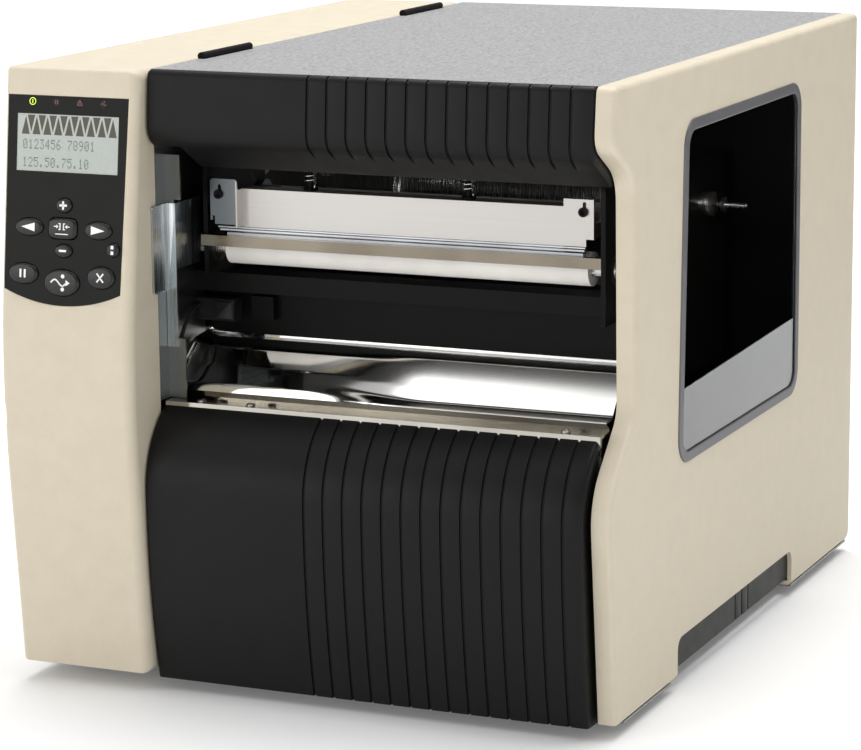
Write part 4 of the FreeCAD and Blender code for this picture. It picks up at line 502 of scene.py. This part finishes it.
def makeBrow():
    # the black brow over the exit: a hollow moulding, its skin 3 mm thick, with a wall at each end
    brow = {"left": -105.5, "right": 184.3, "wall": 3.0, "ends": 2.0, "lastGroove": 340.2,
            "notchRight": -86.0, "notchTop": 343.0, "notchFront": -226.7, "wallTop": 389.0,
            "skin": [(-226.0, 390, 0), (-231.5, 390, 4.0), (-234.7, 347.8, 14.0), (-201.5, 328, 0)],
            "inner": [(-201.5, 331.5, 0), (-231.4, 349.4, 11.0), (-228.6, 385.5, 1.5), (-201.5, 385.5, 0)],
            "rear": [(-201.5, 388.5), (-226.0, 388.5)]}
    skin = resampled(roundedPath(brow["skin"]), 2.5)
    inner = roundedPath(brow["inner"])
    rear = np.array(brow["rear"])
    inward = inwardOf(skin)
    places, insets, depths = groovedStations(brow["left"], brow["right"], brow["ends"])
    corner = np.searchsorted(places, brow["notchRight"])
    places = np.insert(places, corner, [brow["notchRight"], brow["notchRight"] + 0.02])
    insets = np.insert(insets, corner, [0, 0])
    depths = np.insert(depths, corner, [0, 0])
    grooved = np.clip((skin[:, 1] - brow["lastGroove"]) / 2.0, 0, 1)
    shift = insets[:, None] + depths[:, None] * grooved[None]
    moved = skin[None] + inward[None] * shift[:, :, None]
    moved[:, 0] = skin[0]
    outlines = np.concatenate([moved, np.broadcast_to(inner, (len(places),) + inner.shape),
                               np.broadcast_to(rear, (len(places), 2, 2))], axis=1)
    cut = (places <= brow["notchRight"] + 0.001)[:, None] & (outlines[:, :, 0] > brow["notchFront"])
    outlines[:, :, 1] = np.where(cut, np.maximum(outlines[:, :, 1], brow["notchTop"]), outlines[:, :, 1])
    points, faces = carriedOutline(places, outlines)
    wall = np.vstack([skin + inward * 1.0, rear])
    wall[:, 1] = np.minimum(wall[:, 1], brow["wallTop"])
    for left, right, low in ((brow["left"] + 0.05, brow["left"] + brow["wall"], brow["notchTop"]),
                             (brow["right"] - brow["wall"], brow["right"] - 0.05, 0.0)):
        sheet = wall.copy()
        behind = sheet[:, 0] > brow["notchFront"]
        sheet[behind, 1] = np.maximum(sheet[behind, 1], low)
        morePoints, moreFaces = carriedOutline([left, right], np.stack([sheet, sheet]))
        faces += [[i + len(points) for i in face] for face in moreFaces]
        points = np.vstack([points, morePoints])
    return meshPiece("browMoulding", points, faces, finishes["black_plastic"], "door",
                     node="upper_fascia")


def makeBristles():
    # anti-static bristles: thin four-sided spikes in a row, each with its own lean and length
    brush = {"right": 152.0, "long": 190.0, "place": -139.0, "top": 334.5, "tip": 309.0, "count": 620, "thick": 0.34,
             "shortest": 8, "tipSize": 0.45, "jitter": 0.12, "lean": 0.55, "uneven": 1.3, "forward": 0.3}
    chance = np.random.default_rng(11)
    count = brush["count"]
    x = np.linspace(brush["right"] - brush["long"], brush["right"], count) + chance.normal(0, brush["jitter"], count)
    lean = chance.normal(0, brush["lean"], count)
    cut = np.abs(chance.normal(0, brush["uneven"], count))
    lower = np.clip(brush["tip"] + cut, brush["tip"], brush["top"] - brush["shortest"])
    forward = chance.normal(0, brush["forward"], count)
    corners = np.array([[-1, -1], [1, -1], [1, 1], [-1, 1]]) * brush["thick"] / 2
    points = np.empty((count, 8, 3))
    levels = ((brush["top"], 0, 0, 1.0), (lower, lean, forward, brush["tipSize"]))
    for level, (height, dx, dy, size) in enumerate(levels):
        ring = points[:, level * 4:level * 4 + 4]
        ring[:, :, 0] = (x + dx)[:, None] + corners[:, 0] * size
        ring[:, :, 1] = brush["place"] + np.reshape(dy, (-1, 1)) + corners[:, 1] * size
        ring[:, :, 2] = np.reshape(height, (-1, 1))
    one = np.array([[0, 1, 5, 4], [1, 2, 6, 5], [2, 3, 7, 6], [3, 0, 4, 7], [3, 2, 1, 0], [4, 5, 6, 7]])
    faces = (one[None] + (np.arange(count) * 8)[:, None, None]).reshape(-1, 4).tolist()
    return meshPiece("carbonBristles", points.reshape(-1, 3), faces, finishes["dark_grip"], "chassis")


def makeBrushHolder():
    # the folded aluminium channel that grips the bristles: one outline of arcs and straights carried along X
    holder = {"left": -91.5, "right": 171.5, "place": -139.0, "low": 333.5, "top": 342.0, "half": 1.0, "slot": 0.25,
              "slotTop": 335.5, "rim": 0.3, "fold": 0.6}
    y, low, top, half, slot, slotTop, rim, fold = (
        holder[key] for key in ("place", "low", "top", "half", "slot", "slotTop", "rim", "fold"))
    outline = roundedPath([(y - slot, low, 0), (y - half, low, rim), (y - half, top, fold), (y + half, top, fold),
                           (y + half, low, rim), (y + slot, low, 0), (y + slot, slotTop, 0), (y - slot, slotTop, 0)],
                          steps=4)
    points, faces = carriedOutline([holder["left"], holder["right"]], np.stack([outline, outline]))
    return meshPiece("brushChannel", points, faces, finishes["aluminium"], "chassis",
                     node="static_brush")


def makeLabelGuide():
    # the mirror sheet: each section is its slope, in degrees, added up along its length, y = y0 - sum cos,
    # z = z0 - sum sin; at the left it falls in four gentle bends, and towards the right these turn into one steep
    # face between two flat strips; its left end curls up in a cove
    guide = {"left": -106.6, "right": 181.0, "back": (-152.9, 213.6), "edge": (-203.2, 187.2),
             "foot": (-197.5, 182.6), "flange": 215.2, "flangeTall": 0.6, "thick": 1.0, "cove": 10.0, "rise": 3.5,
             "riseOver": 12.0, "turnFrom": -20.0, "turnOver": 80.0}
    length = np.linspace(0, 1, 61)
    leftSlope = np.interp(length, [0, 0.35, 0.41, 0.65, 0.69, 0.90, 0.94, 1], [4, 8, 37.5, 36, 43, 42, 55, 58])
    rightSlope = np.interp(length, [0, 0.29, 0.33, 0.81, 0.85, 1], [4, 8, 49, 53, 12, 8])
    places = np.concatenate([guide["left"] + guide["cove"] * (1 - np.cos(np.linspace(0.05, np.pi / 2, 14))),
                             np.linspace(guide["left"] + guide["cove"] + 4, guide["right"], 44)])
    share = np.clip((places - guide["turnFrom"]) / guide["turnOver"], 0, 1)
    share = share * share * (3 - 2 * share)
    slopes = np.radians(leftSlope + share[:, None] * (rightSlope - leftSlope))
    step = np.stack([-np.cos(slopes), -np.sin(slopes)], 2)
    run = np.cumsum((step[:, 1:] + step[:, :-1]) / 2, axis=1)
    run = np.concatenate([np.zeros((len(places), 1, 2)), run], axis=1)
    span = np.array(guide["edge"]) - guide["back"]
    scale = np.linalg.norm(span) / np.linalg.norm(run[:, -1], axis=1)
    run *= scale[:, None, None]
    run += (span - run[:, -1])[:, None] * length[None, :, None]
    curve = (np.array(guide["back"]) + run)[:, ::-1]
    ends = np.broadcast_to(np.array(guide["foot"]), (len(places), 1, 2))
    top = np.broadcast_to(np.array([[guide["back"][0] + 0.1, guide["flange"] - guide["flangeTall"]],
                                    [guide["back"][0] + 0.1, guide["flange"]]]), (len(places), 2, 2))
    outer = np.concatenate([ends, curve, top], axis=1)
    along = np.gradient(outer, axis=1)
    along /= np.linalg.norm(along, axis=2, keepdims=True)
    inner = outer - np.stack([-along[:, :, 1], along[:, :, 0]], 2) * guide["thick"]
    outlines = np.concatenate([outer, inner[:, ::-1]], axis=1)
    near = np.clip(1 - (places - guide["left"]) / guide["cove"], 0, 1)
    rise = guide["rise"] * (1 - np.sqrt(1 - near ** 2))
    outlines[:, :, 1] += rise[:, None] * np.clip((outlines[:, :, 1] - guide["foot"][1]) / guide["riseOver"], 0, 1)
    points, faces = carriedOutline(places, outlines)
    return meshPiece("mirrorGuideSheet", points, faces, finishes["polished_steel"], "chassis",
                     node="label_guide_plate")


makeLowerPanel()
makeBrow()
makeLabelGuide()
makeBristles()
makeBrushHolder()
print("mouldings and brush made")


# Control panel: x to the right from the cover's left face, s down the slope from its top edge, out from its face,
# all in millimetres

slope = {"left": -198.5, "top": (-240.3506, 390.0), "lean": 6.51}


def onSlope(points):
    # (x, s, out) on the sloped front, turned by its lean, to the row frame
    points = np.asarray(points, float)
    lean = math.radians(slope["lean"])
    x, s, out = points[:, 0], points[:, 1], points[:, 2]
    return np.stack([slope["left"] + x,
                     slope["top"][0] - s * math.sin(lean) - out * math.cos(lean),
                     slope["top"][1] - s * math.cos(lean) + out * math.sin(lean)], axis=1)


def disc(x, s, radius, count=20):
    # points evenly round a circle
    angle = np.linspace(0, 2 * np.pi, count, endpoint=False)
    return np.column_stack([x + radius * np.cos(angle), s + radius * np.sin(angle)])


keyShapes = {  # centre x and s, width, height, and how square the outline is (2 is an oval)
    "plus": (43.6, 83.6, 11.0, 9.0, 2.0), "previous": (19.5, 97.8, 19.4, 11.0, 2.1),
    "setup": (43.0, 97.8, 20.0, 13.2, 3.6), "next": (67.8, 97.8, 18.8, 11.0, 2.1),
    "minus": (43.9, 111.4, 12.0, 8.5, 2.0), "calibrate": (78.4, 109.1, 8.5, 8.5, 2.4),
    "pause": (16.2, 126.6, 20.5, 13.0, 2.1), "feed": (43.3, 131.0, 24.5, 16.5, 2.1),
    "cancel": (70.5, 126.5, 19.0, 13.6, 2.1)}
keyForm = {"points": 64, "skirt": -2.5, "rise": 1.9, "shoulder": 1.5, "shoulderSteps": 8, "crown": 0.25,
           "crownRings": (0.8, 0.6, 0.4, 0.2, 0.04), "stem": 2.5, "stemPoints": 16, "stemEnds": (-2.4, -13.0)}


def makeKey(name):
    # a cap on rings with |x/a|^n + |y/b|^n = 1: straight sides, a well-rounded shoulder and a low crown that falls
    # with the square of the radius; a round stem stands under it
    x, s, wide, tall, square = keyShapes[name]
    count, rise, shoulder, crown = (keyForm[key] for key in ("points", "rise", "shoulder", "crown"))
    angle = np.linspace(0, 2 * np.pi, count, endpoint=False)
    ring = np.stack([np.sign(np.cos(angle)) * np.abs(np.cos(angle)) ** (2 / square) * wide / 2,
                     np.sign(np.sin(angle)) * np.abs(np.sin(angle)) ** (2 / square) * tall / 2], 1)
    turn = np.radians(np.linspace(0, 90, keyForm["shoulderSteps"]))
    sides = [(1.0, keyForm["skirt"])]  # each ring's size beside the outline, and how far out it lies
    sides += [(1 - shoulder / (tall / 2) * (1 - np.cos(t)), rise - crown - shoulder * (1 - np.sin(t))) for t in turn]
    inner = sides[-1][0]
    sides += [(inner * r, rise - crown * r ** 2) for r in keyForm["crownRings"]]
    rings = [np.column_stack([x + ring[:, 0] * scale, s + ring[:, 1] * scale, np.full(count, out)])
             for scale, out in sides]
    stem = disc(x, s, keyForm["stem"], keyForm["stemPoints"])
    rings += [np.column_stack([stem, np.full(len(stem), out)]) for out in keyForm["stemEnds"]]
    faces = tubeFaces(len(sides), count) + tubeFaces(2, len(stem), len(sides) * count)
    return meshPiece("keyCap_" + name, onSlope(np.vstack(rings)), faces, finishes["key_plastic"], "key_" + name,
                     sharpAngle=50, node="button_" + name)


def inkPiece(name, shapes, material, body, out, thick=0.05):
    # flat printed shapes, each a convex outline of (x, s) points, as thin closed pads on the slope
    points, faces = [], []
    for shape in shapes:
        faces += tubeFaces(2, len(shape), len(points))
        points += [(x, s, height) for height in (out, out + thick) for x, s in shape]
    return meshPiece(name, onSlope(points), faces, material, body)


def bar(x, s, wide, tall, turn=0.0):
    # a rectangle about its centre, turned by degrees
    corners = np.array([[-wide, -tall], [wide, -tall], [wide, tall], [-wide, tall]]) / 2
    c, d = math.cos(math.radians(turn)), math.sin(math.radians(turn))
    return corners @ np.array([[c, d], [-d, c]]) + [x, s]


def stroke(path, width, closed=False):
    # a line of even width along a path: one quad for each step, each a little longer than its step to close the bends
    path = np.asarray(path, float)
    if closed:
        path = np.vstack([path, path[:1]])
    shapes = []
    for a, b in zip(path[:-1], path[1:]):
        along = (b - a) / np.linalg.norm(b - a)
        side = np.array([-along[1], along[0]]) * width / 2
        reach = along * width * 0.15
        shapes.append([a - side - reach, b - side + reach, b + side + reach, a + side - reach])
    return shapes


def shifted(shapes, x, s):
    # flat shapes drawn about (0, 0), moved to their place on the slope
    return [np.asarray(shape, float) + [x, s] for shape in shapes]


def printKeySymbols():
    # white symbols on the caps: plus, minus, arrows, two bars, a cross, a winding arrow and two dots
    run = np.linspace(0, 1, 15)
    wave = np.column_stack([10.5 * run - 7.0, -1.9 * np.sin(run * 2 * np.pi * 0.98)])
    symbols = {
        "plus": [bar(0, 0, 5.2, 1.3), bar(0, 0, 1.3, 5.2)],
        "minus": [bar(0, 0, 5.0, 1.3)],
        "previous": [[(-5.0, 0), (4.4, -2.7), (4.4, 2.7)]],
        "next": [[(5.0, 0), (-4.4, 2.7), (-4.4, -2.7)]],
        "setup": [bar(side * x, s, wide, tall) for x, s, wide, tall in
                  ((1.2, -1.2, 0.7, 4.2), (1.9, -3.0, 0.9, 0.6), (1.9, 0.6, 0.9, 0.6), (4.4, -1.2, 2.2, 0.6))
                  for side in (-1, 1)]
        + [[(-2.2, -1.2), (-3.8, -2.4), (-3.8, 0)], [(2.2, -1.2), (3.8, 0), (3.8, -2.4)], bar(0, 3.4, 9.0, 0.55)],
        "calibrate": [bar(0, -1.7, 1.9, 2.1), bar(0, 1.7, 1.9, 2.1)],
        "pause": [bar(-1.5, 0, 1.3, 5.2), bar(1.5, 0, 1.3, 5.2)],
        "cancel": [bar(0, 0, 7.0, 0.95, 50), bar(0, 0, 7.0, 0.95, -50)],
        "feed": stroke(wave, 1.0)
        + [[(6.2, 0), (3.3, -1.9), (3.3, 1.9)], disc(1.2, -4.0, 1.25), disc(1.2, 4.0, 1.25)]}
    for name, shapes in symbols.items():
        inkPiece("symbol_" + name, shifted(shapes, *keyShapes[name][:2]), finishes["ink_white"], "key_" + name,
                 keyForm["rise"] - 0.02, 0.06)


def makeLamps():
    # four small lamps under smoked film: the first lit green, the others dim red, each with a plain sign
    lamps = {"s": 20.8, "points": 32, "face": 0.13,
             "places": {"on": 19.5, "hold": 36.3, "warn": 52.5, "flow": 69.1},
             "rings": [(2.58, -1.9), (2.58, 0.0), (2.2, 0.08), (1.2, 0.12), (0.05, 0.13)]}
    count, rings = lamps["points"], lamps["rings"]
    points, faces = [], []
    for x in lamps["places"].values():
        faces += tubeFaces(len(rings), count, len(points))
        for radius, out in rings:
            points += list(np.column_stack([disc(x, lamps["s"], radius, count), np.full(count, out)]))
    meshPiece("smokedLenses", onSlope(points), faces, finishes["smoked_film"], "chassis",
              node="status_lenses")
    signs = {"on": stroke(disc(0, 0, 2.1, 28), 0.42, closed=True) + [bar(0, 0, 0.5, 2.4)],
             "hold": [bar(-0.7, 0, 0.55, 2.8), bar(0.7, 0, 0.55, 2.8)],
             "warn": stroke([(0, -1.7), (1.9, 1.4), (-1.9, 1.4)], 0.4, closed=True) + [bar(0, 0.1, 0.45, 1.2)],
             "flow": stroke([(-1.8, 0.6), (-0.8, -0.6), (0.2, 0.6), (1.8, 0.6)], 0.45) + [disc(0.4, -1.4, 0.45, 12)]}
    for name, shapes in signs.items():
        inkPiece("lampSign_" + name, shifted(shapes, lamps["places"][name], lamps["s"]),
                 finishes["lamp_green" if name == "on" else "lamp_red"], "chassis", lamps["face"])


def printDisplay():
    # the display: a row of plain triangles over two rows of dot-matrix numbers
    screen = {"face": -0.29, "rows": (("0123456 78901", 44.4), ("125.50.75.10", 55.4)), "margin": 13.4,
              "advance": 3.92, "across": 0.6, "down": 0.86, "dot": (0.58, 0.8)}
    dots = {"0": (14, 17, 19, 21, 25, 17, 14), "1": (4, 12, 4, 4, 4, 4, 14), "2": (14, 17, 1, 2, 4, 8, 31),
            "3": (31, 2, 4, 2, 1, 17, 14), "4": (2, 6, 10, 18, 31, 2, 2), "5": (31, 16, 30, 1, 1, 17, 14),
            "6": (6, 8, 16, 30, 17, 17, 14), "7": (31, 1, 2, 4, 8, 8, 8), "8": (14, 17, 17, 14, 17, 17, 14),
            "9": (14, 17, 17, 15, 1, 2, 12), ".": (0, 0, 0, 0, 0, 12, 12), " ": (0,) * 7}
    shapes = []
    for words, top in screen["rows"]:
        for place, sign in enumerate(words):
            left = screen["margin"] + place * screen["advance"]
            shapes += [bar(left + column * screen["across"], top + row * screen["down"], *screen["dot"])
                       for row, bits in enumerate(dots[sign]) for column in range(5) if bits >> (4 - column) & 1]
    inkPiece("displayNumbers", shapes, finishes["display_ink"], "chassis", screen["face"])
    band = {"left": 12.0, "pitch": 7.6, "count": 9, "hanging": [(0, 41.0), (5.6, 41.0), (2.8, 30.0)],
            "standing": [(4.0, 29.2), (9.2, 29.2), (6.6, 39.4)]}
    triangles = []
    for i in range(band["count"]):
        pair = [band["hanging"], band["standing"]] if i < band["count"] - 1 else [band["hanging"]]
        triangles += shifted(pair, band["left"] + i * band["pitch"], 0)
    inkPiece("displayBand", triangles, finishes["display_shade"], "chassis", screen["face"])


finishes["ink_white"] = mouldedPlastic("WhiteLegendInk", "#efeeea", "#dddcd7", 0.8, 0.004, 0.4, 0.55)
finishes["display_ink"] = mouldedPlastic("DarkDisplaySegment", "#6c7570", "#5f6864", 0.8, 0.002, 0.3, 0.4)
finishes["display_shade"] = mouldedPlastic("OliveDisplaySegment", "#4b493d", "#413f35", 0.8, 0.002, 0.3, 0.4, 0.3)
finishes["smoked_film"] = mouldedPlastic("SmokedLampFilm", "#141413", "#0f0f0e", 0.9, 0.004, 0.28, 0.4, 0.2)
finishes["lamp_green"] = litLens("LitGreenLens", "#c4e03c", "#a8c82c", 1.2)
finishes["lamp_red"] = litLens("DimRedLens", "#6e2521", "#571b18", 0.15)
for name in keyShapes:
    makeKey(name)
printKeySymbols()
makeLamps()
printDisplay()
print("control panel made")


# Camera, floor and lights

def placeCamera():
    # the photograph's view: angles in degrees, the place in metres, the focal length in pixels of an 861 pixel image
    view = {"yaw": 23.66, "pitch": 11.57, "roll": -0.53, "place": (0.83193, -1.94682, 0.59824),
            "focal": 3218.38, "imageWide": 861, "sensor": 36}
    yaw, pitch, roll = (math.radians(view[key]) for key in ("yaw", "pitch", "roll"))
    ahead = Vector((-math.sin(yaw) * math.cos(pitch), math.cos(yaw) * math.cos(pitch), -math.sin(pitch)))
    level = Vector((math.cos(yaw), math.sin(yaw), 0))
    upright = level.cross(ahead)
    right = level * math.cos(roll) + upright * math.sin(roll)
    up = upright * math.cos(roll) - level * math.sin(roll)
    camera = addObject("camera", bpy.data.cameras.new("camera"))
    x, y, z = view["place"]
    camera.matrix_world = Matrix(((right.x, up.x, -ahead.x, x), (right.y, up.y, -ahead.y, y),
                                  (right.z, up.z, -ahead.z, z), (0, 0, 0, 1)))
    camera.data.sensor_width = view["sensor"]
    camera.data.lens = view["focal"] / view["imageWide"] * view["sensor"]
    bpy.context.scene.camera = camera


def softBox(name, place, aim, wide, tall, power):
    # a white rectangular lamp, its face turned to a point
    lamp = bpy.data.lights.new(name, "AREA")
    lamp.shape = "RECTANGLE"
    lamp.size = wide
    lamp.size_y = tall
    lamp.energy = power
    holder = addObject(name, lamp)
    holder.location = place
    holder.rotation_euler = (Vector(aim) - Vector(place)).to_track_quat("-Z", "Y").to_euler()


def layFloor():
    # a plain white sweep, level under the object, whose far part is as bright as the lit part near it
    sweep = {"side": 9.0, "glowFrom": 0.5, "glowTo": 2.2, "glowNear": 0.08, "glowFar": 0.6}
    side = sweep["side"]
    mesh = bpy.data.meshes.new("paleFloor")
    mesh.from_pydata([(-side, -side, 0), (side, -side, 0), (side, side, 0), (-side, side, 0)], [], [(0, 1, 2, 3)])
    floor = addObject("paleFloor", mesh)
    material, tree, shader, place = newMaterial("PaleStudioFloor", IOR=1.45, Specular_IOR_Level=0.2,
                                                Emission_Color=linear("#ffffff"))
    cloud = addNode(tree, "TexNoise", {"Scale": 1.5, "Detail": 2.0}, Vector=place)
    colour = addNode(tree, "ValToRGB", {"stops": [(0.3, linear("#ececec")), (0.7, linear("#eeeeee"))]},
                     Fac=cloud.outputs["Fac"])
    gloss = addNode(tree, "MapRange", {"To Min": 0.6, "To Max": 0.75}, Value=cloud.outputs["Fac"])
    away = addNode(tree, "VectorMath", {"operation": "LENGTH"}, Vector=place)
    glow = addNode(tree, "MapRange", {"From Min": sweep["glowFrom"], "From Max": sweep["glowTo"],
                                      "To Min": sweep["glowNear"], "To Max": sweep["glowFar"]},
                   Value=away.outputs["Value"])
    tree.links.new(colour.outputs["Color"], shader.inputs["Base Color"])
    tree.links.new(gloss.outputs["Result"], shader.inputs["Roughness"])
    tree.links.new(glow.outputs["Result"], shader.inputs["Emission Strength"])
    dress(floor, material)


def standFlag():
    # a black card at the right, seen only in mirrors and through the pane: it keeps the window dark above a strip
    # of white floor
    card = {"near": (0.478, 0.25), "far": (0.535, 1.9), "tall": 0.7}
    (x0, y0), (x1, y1) = card["near"], card["far"]
    mesh = bpy.data.meshes.new("blackFlag")
    mesh.from_pydata([(x0, y0, 0), (x1, y1, 0), (x1, y1, card["tall"]), (x0, y0, card["tall"])], [], [(0, 1, 2, 3)])
    flag = addObject("blackFlag", mesh)
    dress(flag, mouldedPlastic("BlackFlagCloth", "#050505", "#020202", 4.0, 0.05, 0.8, 0.95, 0.0))
    flag.visible_camera = flag.visible_diffuse = flag.visible_shadow = False


softBoxes = {  # where each stands, the point it faces, its width and height in metres, and its power in watts
    "keyLeft": ((-1.8, -2.6, 0.7), (0, 0, 0.0), 1.8, 0.9, 16),
    "topSoft": ((0.1, 0.45, 2.6), (0, 0.1, 0.3), 2.4, 1.8, 80),
    "sheetLight": ((-1.05, -1.45, 2.1), (0, -0.19, 0.2), 1.0, 1.3, 6),  # mirrored by the guide sheet
    "frontFill": ((1.4, -3.2, 0.5), (0, 0, 0.0), 2.2, 0.8, 13),
    "leftStrip": ((-2.6, -0.9, 0.6), (0, -0.2, 0.25), 0.3, 1.4, 9),
    "rightStrip": ((2.2, -0.9, 0.5), (0.2, -0.1, 0.2), 0.12, 1.4, 3),
    "bayGlow": ((0.16, 0.0, 0.32), (0.08, 0.08, 0.24), 0.03, 0.03, 0.5)}  # stands in the media bay, on the spindles
placeCamera()
layFloor()
standFlag()
for name, settings in softBoxes.items():
    softBox(name, *settings)

world = bpy.data.worlds.new("studioAir")
world.use_nodes = True
background = world.node_tree.nodes["Background"]
background.inputs["Color"].default_value = linear("#ffffff")
background.inputs["Strength"].default_value = 0.5
bpy.context.scene.world = world
bpy.context.scene.view_settings.view_transform = "Standard"
print("camera, floor and lights are set")
